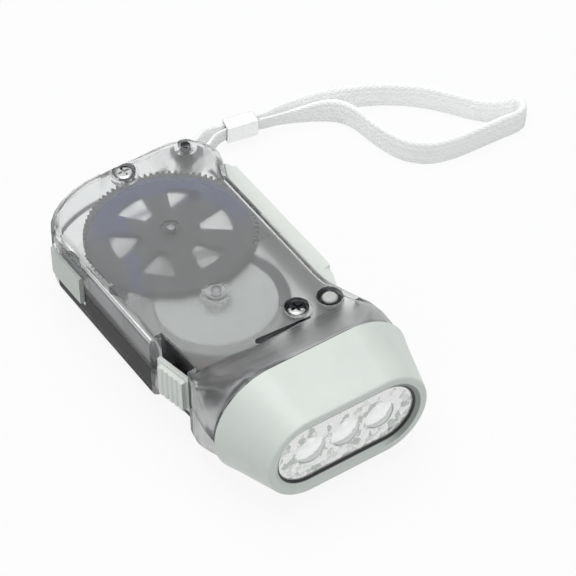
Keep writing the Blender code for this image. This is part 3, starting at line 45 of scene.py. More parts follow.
HEAD_PLACE = (0.0002, -0.03489, 0.0163141)
LAID_DOWN = Matrix.Translation(HEAD_PLACE) @ Matrix.Rotation(-math.radians(TILT_DEG), 4, "X")

# Shared in the making of pieces: how near points are joined and faces are matched, and which angles count
JOIN = 1e-6
NEAR = 0.0001
FLAT_DEG = 0.5
SHARP = math.radians(32)
LENS_SHARP = math.radians(20)
BRAID_SHARP = math.radians(60)
EDGE_STEPS = 2
RING_POINTS = 96

# Lamp head
BEZEL_BACK = (0.0277, 0.0164)
BEZEL_FRONT = (0.02265, 0.01205)
BEZEL_FRONT_Y = -0.0167
BEZEL_REAR_Y = -0.0006
BEZEL_REAR_INSET = 0.0003
BEZEL_WALL = 0.0014
BEZEL_BETWEEN_YS = (-0.004, -0.008, -0.012)
RIM_THICKNESS = 0.0013
FRONT_ROUNDING = 0.0005
FRONT_ROUNDING_STEPS = 6
RIM_OPENING = (0.0207, 0.0101)
# The opening's softened edge: how far behind the rim's face, and how much wider than the opening
RIM_OPENING_EDGE = ((0.00003, 0.00015), (0.0001, 0.00004))
HOLLOW_LEAN = 0.00005
WINDOW = (0.0192, 0.0082)
LENS_LIP = 0.0005
LENS_FRONT_Y = -0.0151
LENS_THICKNESS = 0.0015
LAMP_PITCH = 0.00983
LAMP_XS = (-LAMP_PITCH, 0, LAMP_PITCH)
DOME_RADIUS = 0.0041
DOME_HEIGHT = 0.0015
DOME_SEGMENTS = 64
DOME_RINGS = 90
DOME_CORNERS = 8

# Body
HALF_HEIGHT = 0.0103
GEAR = (-0.0021, 0.0591)
ROTOR = (-0.0046, 0.0342)
MIDDLE_Y = 0.043
TAIL_SCREW = (-0.0014, 0.0826)
HEAD_SCREW = (0.0082, 0.0179)
PIVOT = (0.0168, 0.0163)
POST = (0.0165, 0.0817)
RECESS_RADIUS = 0.0031
PIN_RING_RADIUS = 0.0033
STRAP_HOLE_RADIUS = 0.00125
POST_BOSS_RADIUS = 0.0031
BOSS_RADIUS = 0.00275

# Faces of the body that look dark: thick plastic at rims and walls, dark joints at the seam and the head,
# and painted shade on recess floors and in the groove and notch
WALL_UP = 0.5
RING_BAND = 0.0003
RECESS_WALL_Z = 0.0084
RECESS_FLOOR_Z = (0.0080, HALF_HEIGHT - 0.0004)
GROOVE_X = (-0.0070, 0.0094)
GROOVE_Y = (0.0121, 0.0146)
GROOVE_Z = (0.0088, HALF_HEIGHT - 0.0001)
SEAM_BAND = 0.0004
FRONT_BAND = 0.0006
NOTCH_X = (-0.0245, -0.0225)
NOTCH_Y = (0.0141, 0.0293)

# Faces of the body with a soft, a bright or a darker wall, the darker one in painted shade: their places,
# and how far they lean
SOFT_FROM_Y = 0.060
SOFT_UP = 0.97
SOFT_BACK = 0.1
BRIGHT_FROM_Y = 0.022
BRIGHT_FROM_Z = 0.006
BRIGHT_LEAN = 0.2
SHADED_SIDE_Y = (0.012, 0.078)
SHADED_SIDE_LEFT = 0.5

# Shading of the smoky plastic, with the places of its painted shade towards the head and its painted shadow
# beside the gear
HEAD_SHADE_Y = (0.004, 0.017)
HEAD_SHADE_RIGHT_X = (0.008, 0.018)
HEAD_SHADE_RIGHT_Y = (0.016, 0.030)
HEAD_BLUR_Y = (0.009, 0.013)
GEAR_SHADOW_X = (-0.006, 0.006)
GEAR_SHADOW_Y = (0.046, 0.064)
GEAR_SHADOW_Z = (-0.006, -0.001)
GEAR_SHADOW_REACH = (0.016, 0.021)
POST_REACH = (0.008, 0.012)
TAIL_Y = (0.050, 0.072)
CLEAR = (-0.0043, 0.0559)
CLEAR_REACH = (0.0203, 0.0215)
FROSTED_Y = (0.040, 0.048)

# Blue lead behind the gear: a band round its tail side, and a streak up to the tail
BAND_WAY = (0.37, 0.93)
BAND_SIDE = (-0.003, 0.004)
BAND_INNER = (0.0128, 0.0145)
BAND_OUTER = (0.0192, 0.0204)
STREAK = (-0.0135, 0.0613)
STREAK_WAY = (0.932, -0.362)
STREAK_HALF_WIDTH = (0.0009, 0.0021)
STREAK_END_Y = (0.070, 0.076)

# Shading of the lamp head and of the works
# Painted highlight crescents and painted dark rims of shade on the lens domes
GLINT_WAY = (0.908, -0.419)
GLINT_HEIGHT = (0.0004, 0.0008)
GLINT_WAVER = 0.0012
DARK_RIM_RADIUS = (0.0036, 0.0039)
DARK_RIM_HEIGHT = (-0.0020, -0.0005)
PEBBLE_SCALE = 620
PEBBLE_TURN = (0.4, 0.9, 0.3)
PEBBLE_STRETCH = (1, 1.6, 0.8)
BORDER_HIGHLIGHT = (0.0007, 0.0003)
GAP_SHADOW = (0.00055, 0.00035)
WALL_SHADOW_X = (0.008, 0.017)
MAGNET_LIGHT_X = (0.004, 0.010)
SCREW_WAY = (-0.568, -0.823)
SCREW_FADE = 0.0005
TAIL_SCREW_SHADE = -0.0016
HEAD_SCREW_SHADE = 0.0002

# Strap
BRAID_HALF_WIDTH = 0.0040
BRAID_HALF_THICKNESS = 0.0009
BRAID_ROWS = 5
BRAID_STEP = 0.0004
BRAID_POINTS = 72
STITCH = 0.0017
STITCH_SLANT = 1.8
STITCH_DEPTH_SHARE = 0.07
ROW_DEPTH_SHARE = 0.24
SIDE_POWER = 0.55
FACE_POWER = 0.6
ANCHOR_SHARE = 0.62
CRIMP_SHARE = 0.50
CRIMP_LENGTH = 0.0088
CRIMP_EDGE = 0.0002
CRIMP_START = (0.0357, 0.0584, 0.0050)
POST_RADIUS = 0.0018
POST_STEPS = 7
CURVE_PARTS = 10
ROUTE_SLACK = 1e-9
WRIST_ROUTE = [
    (0.0445, 0.0560, 0.0050), (0.0480, 0.0554, 0.0047), (0.0520, 0.0548, 0.0043), (0.0565, 0.0537, 0.0041),
    (0.0620, 0.0518, 0.0041), (0.0660, 0.0490, 0.0041), (0.0682, 0.0443, 0.0041), (0.0692, 0.0384, 0.0041),
    (0.0707, 0.0325, 0.0041), (0.0731, 0.0278, 0.0041), (0.0776, 0.0240, 0.0041), (0.0840, 0.0222, 0.0041),
    (0.0910, 0.0217, 0.0041), (0.0980, 0.0214, 0.0041), (0.1034, 0.0211, 0.0041), (0.1060, 0.0220, 0.0041),
    (0.1066, 0.0240, 0.0041), (0.1052, 0.0258, 0.0041), (0.1015, 0.0268, 0.0041), (0.0972, 0.0300, 0.0041),
    (0.0930, 0.0354, 0.0041), (0.0888, 0.0405, 0.0041), (0.0840, 0.0449, 0.0041), (0.0780, 0.0489, 0.0041),
    (0.0720, 0.0518, 0.0041), (0.0655, 0.0545, 0.0041), (0.0590, 0.0565, 0.0041), (0.0525, 0.0578, 0.0043),
    (0.0480, 0.0575, 0.0047), (0.0446, 0.0576, 0.0050),
]
ANCHOR_FRONT = [(0.0357, 0.0576, 0.0050), (0.0320, 0.0562, 0.0062), (0.0270, 0.0524, 0.0085)]
ANCHOR_BACK = [(0.0255, 0.0558, 0.0085), (0.0310, 0.0588, 0.0062), (0.0358, 0.0592, 0.0050)]


# Camera

CAMERA_PLACE = (-0.295242, -0.451426, 0.642488)
CAMERA_TURN_DEG = (40.981163, -1.071035, -33.434145)
CAMERA_LENS_MM = 209.916
CAMERA_SENSOR_MM = 36
CAMERA_SIGHT = 20


def make_camera():
    camera = bpy.data.objects.new("camera", bpy.data.cameras.new("camera"))
    camera.data.lens = CAMERA_LENS_MM
    camera.data.sensor_width = CAMERA_SENSOR_MM
    camera.data.clip_end = CAMERA_SIGHT
    camera.location = CAMERA_PLACE
    camera.rotation_euler = [math.radians(angle) for angle in CAMERA_TURN_DEG]
    bpy.context.scene.collection.objects.link(camera)
    bpy.context.scene.camera = camera


# Shader maths

class Value:
    """A socket in shader maths, so that sums on it read as sums."""

    def __init__(self, finish, socket):
        self.finish = finish
        self.socket = socket

    def maths(self, operation, *values):
        return self.finish.add("ShaderNodeMath", {"operation": operation}, dict(enumerate(values)))

    def __add__(self, other):
        return self.maths("ADD", self, other)

    __radd__ = __add__

    def __mul__(self, other):
        return self.maths("MULTIPLY", self, other)

    __rmul__ = __mul__

    def __sub__(self, other):
        return self.maths("SUBTRACT", self, other)

    def __rsub__(self, other):
        return self.maths("SUBTRACT", other, self)

    def __pow__(self, other):
        return self.maths("POWER", self, other)


class Finish:
    """One material: a shader with its constants, and the nodes that vary it over the surface."""

    def __init__(self, name, **constants):
        self.material = bpy.data.materials.new(name)
        self.material.use_nodes = True
        self.nodes = self.material.node_tree.nodes
        self.shader = self.nodes["Principled BSDF"]
        self.set(self.shader, {name.replace("_", " "): value for name, value in constants.items()})

    def set(self, node, values):
        for socket, value in values.items():
            if isinstance(value, Value):
                self.material.node_tree.links.new(value.socket, node.inputs[socket])
            else:
                node.inputs[socket].default_value = value

    def add(self, kind, settings=None, values=None, output=0):
        """Adds any node: its settings, then what its sockets hold or are linked to."""
        node = self.nodes.new(kind)
        for name, setting in (settings or {}).items():
            if name == "stops":
                for stop, (place, colour) in zip(node.color_ramp.elements, setting):
                    stop.position = place
                    stop.color = (*colour, 1)
            else:
                setattr(node, name, setting)
        self.set(node, values or {})
        return Value(self, node.outputs[output])

    def place(self):
        return self.add("ShaderNodeTexCoord", output="Object")

    def outputs(self, value):
        """All outputs of the node that a value comes from."""
        return [Value(self, socket) for socket in value.socket.node.outputs]

    def flat_place(self):
        """X, Y and Z of the point as the part is drawn flat."""
        back = LAID_DOWN.inverted()
        flat = self.add("ShaderNodeMapping", None, {
            "Vector": self.place(), "Location": back.translation, "Rotation": back.to_euler(),
        })
        return self.outputs(self.add("ShaderNodeSeparateXYZ", None, {0: flat}))

    def fade(self, value, limits, low=1.0, high=0.0):
        """low up to the first limit, high from the second, and smooth between them."""
        return self.add("ShaderNodeMapRange", {"interpolation_type": "SMOOTHSTEP"}, {
            "Value": value, "From Min": limits[0], "From Max": limits[1], "To Min": low, "To Max": high,
        })

    def noise(self, scale, detail=2, stretch=(1, 1, 1)):
        spot = self.add("ShaderNodeMapping", None, {"Vector": self.place(), "Scale": stretch})
        values = {"Vector": spot, "Scale": scale, "Detail": detail}
        return self.add("ShaderNodeTexNoise", None, values, "Fac")

    def ramp(self, amount, low, high, start=0.0, end=1.0):
        return self.add("ShaderNodeValToRGB", {"stops": [(start, low), (end, high)]}, {0: amount})

    def cells(self, spot, scale, output):
        return self.add("ShaderNodeTexVoronoi", None, {"Vector": spot, "Scale": scale}, output)

    def bumped(self, height, distance, strength=1.0):
        return self.add("ShaderNodeBump", None, {
            "Height": height, "Distance": distance, "Strength": strength,
        })

    def wear(self, **links):
        self.set(self.shader, {name.replace("_", " "): value for name, value in links.items()})
        return self.material


def shaded(colour, share):
    return tuple(channel * share for channel in colour)


def larger(one, other):
    return one.maths("MAXIMUM", one, other)


def size_of(value):
    return value.maths("ABSOLUTE", value)


def distance(x, y, centre=(0, 0)):
    """How far a point lies from a centre."""
    if any(centre):
        x, y = x - centre[0], y - centre[1]
    return (x ** 2 + y ** 2) ** 0.5


def lean(x, y, way, centre):
    """How far a point lies from a centre in one direction."""
    return way[0] * (x - centre[0]) + way[1] * (y - centre[1])


def moulded(name, colour, roughness=0.4, coat=0.0):
    """Moulded plastic: a faint mottle in the colour, and a fine grain."""
    finish = Finish(name, Coat_Weight=coat, Coat_Roughness=0.2)
    mottle = finish.noise(scale=140, detail=3)
    fine = finish.noise(scale=5200)
    return finish.wear(
        Base_Color=finish.ramp(mottle, shaded(colour, 0.95), colour, 0.3, 0.7),
        Roughness=roughness + 0.1 * (mottle - 0.5),
        Normal=finish.bumped(fine, distance=0.00001),
    )


def metal(name, colour, roughness=0.25, scratch=(1, 1, 12)):
    """Plated metal with fine drawn marks."""
    finish = Finish(name, Metallic=1.0)
    marks = finish.noise(scale=900, detail=3, stretch=scratch)
    return finish.wear(
        Base_Color=finish.ramp(marks, shaded(colour, 0.8), colour, 0.3, 0.7),
        Roughness=roughness + 0.15 * (marks - 0.5),
        Normal=finish.bumped(marks, distance=0.00001),
    )


def smoke_plastic(name, colour, roughness, coat=0.4, coat_ior=1.5, ior=1.4, darkest=0.3, blur=0.0,
                  head_blur=0.0):
    """Smoky plastic. It darkens over the strap's post and where the tail is seen edge on, and it carries
    painted shade towards the head and a painted shadow in the floor beside the gear. blur softens what
    shows through it outside the clear round place over the gear, and head_blur what shows through it at the
    head."""
    finish = Finish(name, Transmission_Weight=0.97, IOR=ior, Coat_Weight=coat, Coat_Roughness=0.1,
                    Coat_IOR=coat_ior)
    mottle = finish.noise(scale=45)
    edge_on = finish.add("ShaderNodeLayerWeight", None, {"Blend": 0.5}, "Facing")
    x, y, z = finish.flat_place()
    # painted shade: darker towards the head, and more so on its right
    head = finish.fade(y, HEAD_SHADE_Y, 0.08, 0.0)
    head = head + finish.fade(y, HEAD_SHADE_RIGHT_Y, 0.1, 0.0) * finish.fade(x, HEAD_SHADE_RIGHT_X, 0.0, 1.0)
    # painted shadow in the floor of the bottom half, under and beside the gear
    floor = finish.fade(z, GEAR_SHADOW_Z) * finish.fade(distance(x, y, GEAR), GEAR_SHADOW_REACH)
    floor = floor * finish.fade(y, GEAR_SHADOW_Y, 1.2, 0.8) * finish.fade(x, GEAR_SHADOW_X, 1.0, 0.35)
    near_post = finish.fade(distance(x, y, POST), POST_REACH)
    edge = finish.fade(y, TAIL_Y, 1.3, 0.3) * edge_on ** 3
    passing = 1 - 0.04 * mottle - edge - head - floor - 0.12 * near_post
    frosted = larger(finish.fade(distance(x, y, CLEAR), CLEAR_REACH), finish.fade(y, FROSTED_Y))
    frosted = larger(frosted, near_post)
    return finish.wear(
        Base_Color=finish.ramp(passing, shaded(colour, darkest), colour),
        Roughness=roughness + 0.06 * mottle + blur * frosted + head_blur * finish.fade(y, HEAD_BLUR_Y),
    )


def gear_plastic(name, colour, tint):
    """Grey gear, tinted blue by the lead that shows through it."""
    finish = Finish(name)
    x, y, _ = finish.flat_place()
    mottle = finish.noise(scale=90)
    radius = distance(x, y, GEAR)
    tail_side = finish.fade(lean(x, y, BAND_WAY, GEAR), BAND_SIDE, 0.0, 1.0)
    band = finish.fade(radius, BAND_INNER, 0.0, 1.0) * finish.fade(radius, BAND_OUTER) * tail_side
    streak = finish.fade(size_of(lean(x, y, STREAK_WAY, STREAK)), STREAK_HALF_WIDTH)
    streak = streak * finish.fade(y, STREAK_END_Y)
    blue_share = larger(band, streak) * (0.65 + 0.35 * mottle)
    grey = finish.ramp(mottle, shaded(colour, 0.85), colour, 0.3, 0.7)
    blued = finish.add("ShaderNodeMix", {"data_type": "RGBA"}, {0: blue_share, 6: grey, 7: (*tint, 1)}, 2)
    return finish.wear(Base_Color=blued, Roughness=0.4 + 0.1 * mottle)


def magnet_grey(name, dark, light):
    """Pressed magnet powder, dark to the right and pale to the left, where painted light stands in for the
    bright sheen over the rotor.
    """
    finish = Finish(name)
    x, _, _ = finish.flat_place()
    speck = finish.noise(scale=1500, detail=3)
    # painted light: pale to the left, dark to the right
    return finish.wear(
        Base_Color=finish.ramp(finish.fade(x, MAGNET_LIGHT_X) - 0.2 * speck, dark, light),
        Roughness=0.5 + 0.2 * speck,
    )


def lens_clear(name):
    """Clear lens domes, milky, with a painted highlight crescent that glows faintly and a painted dark rim
    of shade.
    """
    # the emission paints a faint glow, strongest in the highlight
    finish = Finish(name, Transmission_Weight=0.1, IOR=1.49, Coat_Weight=1.0, Coat_IOR=1.6,
                    Coat_Roughness=0.03, Emission_Strength=0.25)
    x, _, z = finish.flat_place()
    across = x.maths("WRAP", x, LAMP_PITCH / 2, -LAMP_PITCH / 2)
    height = GLINT_WAY[0] * z + GLINT_WAY[1] * across
    ripple = finish.noise(scale=900, stretch=(1, 1, 3))
    # painted highlight crescent
    glint = finish.fade(height + GLINT_WAVER * (ripple - 0.5), GLINT_HEIGHT, 0.0, 1.0)
    # painted dark rim of shade
    rim = finish.fade(distance(across, z), DARK_RIM_RADIUS, 0.0, 1.0) * finish.fade(height, DARK_RIM_HEIGHT)
    tone = 0.6 + 0.2 * ripple + 0.5 * glint - 0.6 * rim
    return finish.wear(
        Base_Color=finish.ramp(tone, (0.25, 0.27, 0.25), (1.0, 1.0, 1.0)),
        Emission_Color=finish.ramp(glint + 0.25 * ripple - rim, (0.0, 0.0, 0.0), (0.95, 1.0, 0.95)),
        Roughness=0.08 + 0.1 * ripple,
        Normal=finish.bumped(ripple, distance=0.00003),
    )


def pebbled(name):
    """Plate moulded in small slanting flats, some painted bright as glints and some dull, with a painted
    highlight along its border.
    """
    finish = Finish(name, Metallic=0.35, Coat_Weight=0.6, Coat_Roughness=0.05)
    spot = finish.add("ShaderNodeMapping", None, {
        "Vector": finish.place(), "Rotation": PEBBLE_TURN, "Scale": PEBBLE_STRETCH,
    })
    flats = finish.cells(spot, PEBBLE_SCALE, "Distance")
    fine = finish.noise(scale=1500, detail=3)
    x, _, z = finish.flat_place()
    # painted highlight along the plate's border
    past = larger(size_of(x) - (WINDOW[0] - WINDOW[1]), 0.0)
    border = finish.fade(distance(past, z), [WINDOW[1] - width for width in BORDER_HIGHLIGHT], 0.0, 1.0)
    # cell colours paint glints on some flats
    tone = 0.7 * finish.cells(spot, PEBBLE_SCALE, "Color") + 0.3 * fine + border
    return finish.wear(
        Base_Color=finish.ramp(tone, (0.55, 0.59, 0.55), (1.0, 1.0, 0.99), 0.32, 0.50),
        Roughness=0.15 + 0.2 * fine,
        Normal=finish.bumped(flats, distance=0.0004, strength=0.7),
    )


def shaded_recess_wall(name, colour):
    """The head's plastic on the sloped wall round the window, with painted shade darkening it to the right
    and a painted black shadow at the gap.
    """
    finish = Finish(name, Roughness=0.4)
    x, y, _ = finish.flat_place()
    gap_y = BEZEL_FRONT_Y + RIM_THICKNESS
    # painted black shadow at the gap round the insert
    tone = finish.fade(y, [gap_y - width for width in GAP_SHADOW])
    # painted shade towards the right
    tone = tone * (1 - finish.fade(x, WALL_SHADOW_X, 0.0, 0.55))
    tone = tone * (0.97 + 0.03 * finish.noise(scale=140))
    return finish.wear(Base_Color=finish.ramp(tone, (0.01, 0.01, 0.012), colour))


def screw_steel(name, centre, shaded_to):
    """Plated screw, dark where its recess keeps the light from it."""
    finish = Finish(name, Metallic=1.0)
    x, y, _ = finish.flat_place()
    marks = finish.noise(scale=900, detail=3)
    lit = finish.fade(lean(x, y, SCREW_WAY, centre), (shaded_to, shaded_to + SCREW_FADE), 0.0, 1.0)
    return finish.wear(
        Base_Color=finish.ramp(lit - 0.2 * marks, (0.03, 0.03, 0.035), (0.62, 0.62, 0.62)),
        Roughness=0.3 + 0.1 * marks,
    )


def lamp_epoxy(name):
    """Water-clear lamp cases, milky towards the chip."""
    finish = Finish(name, IOR=1.9)
    milk = finish.noise(scale=420)
    return finish.wear(
        Base_Color=finish.ramp(milk, (0.62, 0.66, 0.66), (0.9, 0.92, 0.9), 0.3, 0.7),
        Roughness=0.08 + 0.1 * milk,
        Alpha=0.55 + 0.3 * milk,
    )


def silvering(name):
    """Silvered cups, struck in small flats that sparkle."""
    finish = Finish(name, Metallic=0.6)
    flats = finish.cells(finish.place(), 950, "Distance")
    return finish.wear(
        Base_Color=finish.ramp(flats, (0.95, 0.96, 0.95), (0.80, 0.82, 0.82), 0.0, 0.8),
        Roughness=0.06 + 0.12 * flats,
        Normal=finish.bumped(flats, distance=0.0003, strength=0.6),
    )


def braid_cord(name):
    """Braided pale fibre: rows of slanting stitches along the strap, darker between the rows, with a faint
    painted glow.
    """
    # the faint emission is a painted glow that brightens the braid
    finish = Finish(name, Sheen_Weight=0.8, Sheen_Roughness=0.5, Emission_Color=(1.0, 1.0, 0.98, 1.0),
                    Emission_Strength=0.1)
    unrolled = finish.add("ShaderNodeUVMap", {"uv_map": "strap"})
    along, across, _ = finish.outputs(finish.add("ShaderNodeSeparateXYZ", None, {0: unrolled}))
    row = (across * BRAID_ROWS).maths("FRACT", across * BRAID_ROWS)
    off_middle = size_of(row - 0.5)
    slant = along * (1 / STITCH) + off_middle * STITCH_SLANT
    stitch = slant.maths("SINE", slant * (2 * math.pi)) * 0.5 + 0.5
    rows = 1 - (off_middle * 2) ** 5
    fibre = finish.noise(scale=2600, detail=3)
    tone = 0.55 * stitch + 0.25 * fibre + 0.35 * rows
    return finish.wear(
        Base_Color=finish.ramp(tone, (0.90, 0.92, 0.90), (1.0, 1.0, 1.0), 0.1, 0.55),
        Roughness=0.75 + 0.2 * fibre,
        Normal=finish.bumped(0.6 * stitch + 0.4 * fibre, distance=0.0001),
    )


# Making pieces

def start(operator, **values):
    """Begins a piece from a primitive, with nothing else selected."""
    if bpy.context.mode != "OBJECT":
        bpy.ops.object.mode_set(mode="OBJECT")
    bpy.ops.object.select_all(action="DESELECT")
    operator(**values)
    return bpy.context.object


def take(piece):
    bpy.ops.object.select_all(action="DESELECT")
    piece.select_set(True)
    bpy.context.view_layer.objects.active = piece


def edit(piece):
    take(piece)
    bpy.ops.object.mode_set(mode="EDIT")


def pick(chosen):
    """Selects the points that chosen names, of the piece in edit mode."""
    bpy.ops.mesh.select_all(action="DESELECT")
    mesh = bmesh.from_edit_mesh(bpy.context.object.data)
    for point in mesh.verts:
        if chosen(point):
            point.select_set(True)
    mesh.select_flush(True)
    bmesh.update_edit_mesh(bpy.context.object.data)


def close_up(piece):
    """Joins doubled points and turns every face outwards."""
    edit(piece)
    bpy.ops.mesh.select_all(action="SELECT")
    bpy.ops.mesh.remove_doubles(threshold=JOIN)
    bpy.ops.mesh.normals_make_consistent(inside=False)
    bpy.ops.object.mode_set(mode="OBJECT")


def modify(piece, kind, **settings):
    take(piece)
    modifier = piece.modifiers.new(kind.lower(), kind)
    for name, value in settings.items():
        setattr(modifier, name, value)
    bpy.ops.object.modifier_apply(modifier=modifier.name)


def smooth(piece, angle=SHARP, edge=0.0):
    """Softens the edges by a small bevel, then shades the round faces smooth."""
    if edge:
        modify(piece, "BEVEL", width=edge, segments=EDGE_STEPS, limit_method="ANGLE", angle_limit=SHARP)
    take(piece)
    bpy.ops.object.shade_smooth_by_angle(angle=angle)
    modify(piece, "WEIGHTED_NORMAL", keep_sharp=True)


def lay_down(piece):
    """Lays a piece that was drawn flat on its back, with its place in its mesh."""
    take(piece)
    piece.matrix_world = LAID_DOWN @ piece.matrix_world
    bpy.ops.object.transform_apply(location=True, rotation=True, scale=True)


def dress(piece, name, body, finish, node):
    """Names a finished piece, gives it its finish and its body, and hides the solid that it stands for."""
    piece.name = name
    piece.data.materials.clear()
    piece.data.materials.append(finish)
    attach(piece, body)
    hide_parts(node)


def refined(node, edge=0.0):
    """A copy of a CAD solid: triangles joined into faces, softened edges, smooth round faces."""
    piece = bpy.data.objects.new(node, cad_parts[node].data.copy())
    bpy.context.scene.collection.objects.link(piece)
    edit(piece)
    bpy.ops.mesh.select_all(action="SELECT")
    bpy.ops.mesh.remove_doubles(threshold=JOIN)
    bpy.ops.mesh.dissolve_limited(angle_limit=math.radians(FLAT_DEG))
    bpy.ops.object.mode_set(mode="OBJECT")
    smooth(piece, edge=edge)
    return piece


# Body

def between(value, limits):
    return limits[0] < value < limits[1]


def is_thick_or_shaded(x, y, z, up):
    """Whether a face of a body half belongs to a rim, recess, groove, seam or notch that looks dark: thick
    plastic at the rims and recess walls, dark joints at the seam and the head, and painted shade on the
    recess floors and in the groove and notch.
    """
    def off(centre):
        return math.hypot(x - centre[0], y - centre[1])

    def ring(centre, radius):
        return abs(off(centre) - radius) < RING_BAND

    wall = abs(up) < WALL_UP
    recesses = [(TAIL_SCREW, RECESS_RADIUS), (HEAD_SCREW, RECESS_RADIUS), (PIVOT, PIN_RING_RADIUS)]
    recess = z > RECESS_WALL_Z and any(ring(centre, radius) for centre, radius in recesses)
    sunk = between(z, RECESS_FLOOR_Z) and any(off(centre) < radius for centre, radius in recesses)
    hole = z > 0 and (ring(POST, STRAP_HOLE_RADIUS) or ring(POST, POST_BOSS_RADIUS))
    boss = z > 0 and (ring(GEAR, BOSS_RADIUS) or ring(ROTOR, BOSS_RADIUS))
    groove = between(y, GROOVE_Y) and between(x, GROOVE_X) and between(z, GROOVE_Z)
    seam = abs(z) < SEAM_BAND and not wall
    front = y < FRONT_BAND and wall
    notch = between(y, NOTCH_Y) and between(x, NOTCH_X) and wall
    return wall and (recess or hole or boss) or sunk or groove or seam or front or notch


def make_shell(node, name, side):
    """One half of the body: polished outside, frosted inside, dark rims and seam, painted shade in the
    recesses, groove and notch, a bright left edge, a left side darkened with painted shade and a soft tail."""
    shell = refined(node)
    dress(shell, name, "flashlight_body", smoke_outside, node)
    for finish in (smoke_inside, smoke_thick_and_shade, smoke_bright, side, smoke_soft):
        shell.data.materials.append(finish)
    inside, thick, bright, left_side_shade, soft = range(1, 6)
    flat = LAID_DOWN.inverted()
    for face in shell.data.polygons:
        x, y, z = flat @ face.center
        way = flat.to_3x3() @ face.normal
        outward = way.z * z if abs(way.z) > WALL_UP else way.x * (x - ROTOR[0]) + way.y * (y - MIDDLE_Y)
        # dark faces: thick plastic and joints, and painted shade in the recesses, groove and notch
        if is_thick_or_shaded(x, y, z, way.z):
            face.material_index = thick
        elif y > SOFT_FROM_Y and abs(way.z) < SOFT_UP and (outward < 0 or way.y > SOFT_BACK):
            face.material_index = soft
        elif outward < 0:
            face.material_index = inside
        elif way.x < -BRIGHT_LEAN and way.z > BRIGHT_LEAN and z > BRIGHT_FROM_Z and y > BRIGHT_FROM_Y:
            face.material_index = bright
        # the left side walls take the darker copy, as painted shade
        elif way.x < -SHADED_SIDE_LEFT and between(y, SHADED_SIDE_Y):
            face.material_index = left_side_shade


# Lamp head

def add_ring(y, half_width, half_height):
    """Adds a long round ring across the head: a circle whose halves are moved apart."""
    bpy.ops.mesh.select_all(action="DESELECT")
    bpy.ops.mesh.primitive_circle_add(vertices=RING_POINTS, radius=half_height, location=(0, y, 0),
                                      rotation=(math.pi / 2, math.pi / RING_POINTS, 0))
    mesh = bmesh.from_edit_mesh(bpy.context.object.data)
    mesh.verts.ensure_lookup_table()
    new = [v.index for v in mesh.verts if v.select]
    for side in (1, -1):
        mesh = bmesh.from_edit_mesh(bpy.context.object.data)
        mesh.verts.ensure_lookup_table()
        half = {i for i in new if mesh.verts[i].co.x * side > 0}
        pick(lambda v: v.index in half)
        bpy.ops.transform.translate(value=(side * (half_width - half_height), 0, 0))


def draw_through(name, rings, closed=False):
    """A body drawn through long round rings, joined round to the first one or capped at both ends."""
    piece = start(bpy.ops.mesh.primitive_circle_add, vertices=3)
    piece.name = name
    bpy.ops.object.mode_set(mode="EDIT")
    bpy.ops.mesh.delete(type="VERT")
    for ring in rings:
        add_ring(*ring)
    pairs = list(zip(range(len(rings)), range(1, len(rings))))
    for one, other in pairs + [(len(rings) - 1, 0)] * closed:
        pick(lambda v: v.index // RING_POINTS in (one, other))
        bpy.ops.mesh.bridge_edge_loops()
    if not closed:
        for end in (0, len(rings) - 1):
            pick(lambda v: v.index // RING_POINTS == end)
            bpy.ops.mesh.edge_face_add()
    bpy.ops.object.mode_set(mode="OBJECT")
    close_up(piece)
    return piece


def at_bezel(y, inset=0.0):
    share = y / BEZEL_FRONT_Y
    return [back + (front - back) * share - inset for back, front in zip(BEZEL_BACK, BEZEL_FRONT)]


def make_bezel(finish, shaded_wall_finish):
    """The tapered lamp head, drawn round from its outside through the window to its hollow."""
    rings = [(BEZEL_REAR_Y / 2, *at_bezel(0, BEZEL_REAR_INSET)), (BEZEL_REAR_Y, *at_bezel(0))]
    rings += [(y, *at_bezel(y)) for y in BEZEL_BETWEEN_YS]
    for step in range(FRONT_ROUNDING_STEPS + 1):
        a = math.pi / 2 * step / FRONT_ROUNDING_STEPS
        y = BEZEL_FRONT_Y + FRONT_ROUNDING * (1 - math.sin(a))
        rings.append((y, *at_bezel(y, FRONT_ROUNDING * (1 - math.cos(a)))))
    for depth, grown in RIM_OPENING_EDGE:
        rings.append((BEZEL_FRONT_Y + depth, RIM_OPENING[0] + grown, RIM_OPENING[1] + grown))
    inner_y = BEZEL_FRONT_Y + RIM_THICKNESS
    rings.append((inner_y, *WINDOW))
    rings.append((inner_y + HOLLOW_LEAN, *at_bezel(inner_y, BEZEL_WALL)))
    rings.append((BEZEL_REAR_Y / 3, *at_bezel(BEZEL_REAR_Y / 2, BEZEL_WALL)))
    piece = draw_through("bezel", rings, closed=True)
    smooth(piece)
    lay_down(piece)
    dress(piece, "bezel", "flashlight_body", finish, "head_bezel")
    piece.data.materials.append(shaded_wall_finish)
    flat = LAID_DOWN.inverted()
    for face in piece.data.polygons:
        x, y, z = flat @ face.center
        past = max(abs(x) - (RIM_OPENING[0] - RIM_OPENING[1]), 0)
        # the sloped wall of the opening takes the finish with painted shade
        if BEZEL_FRONT_Y + NEAR < y < inner_y - NEAR and math.hypot(past, z) < RIM_OPENING[1]:
            face.material_index = 1


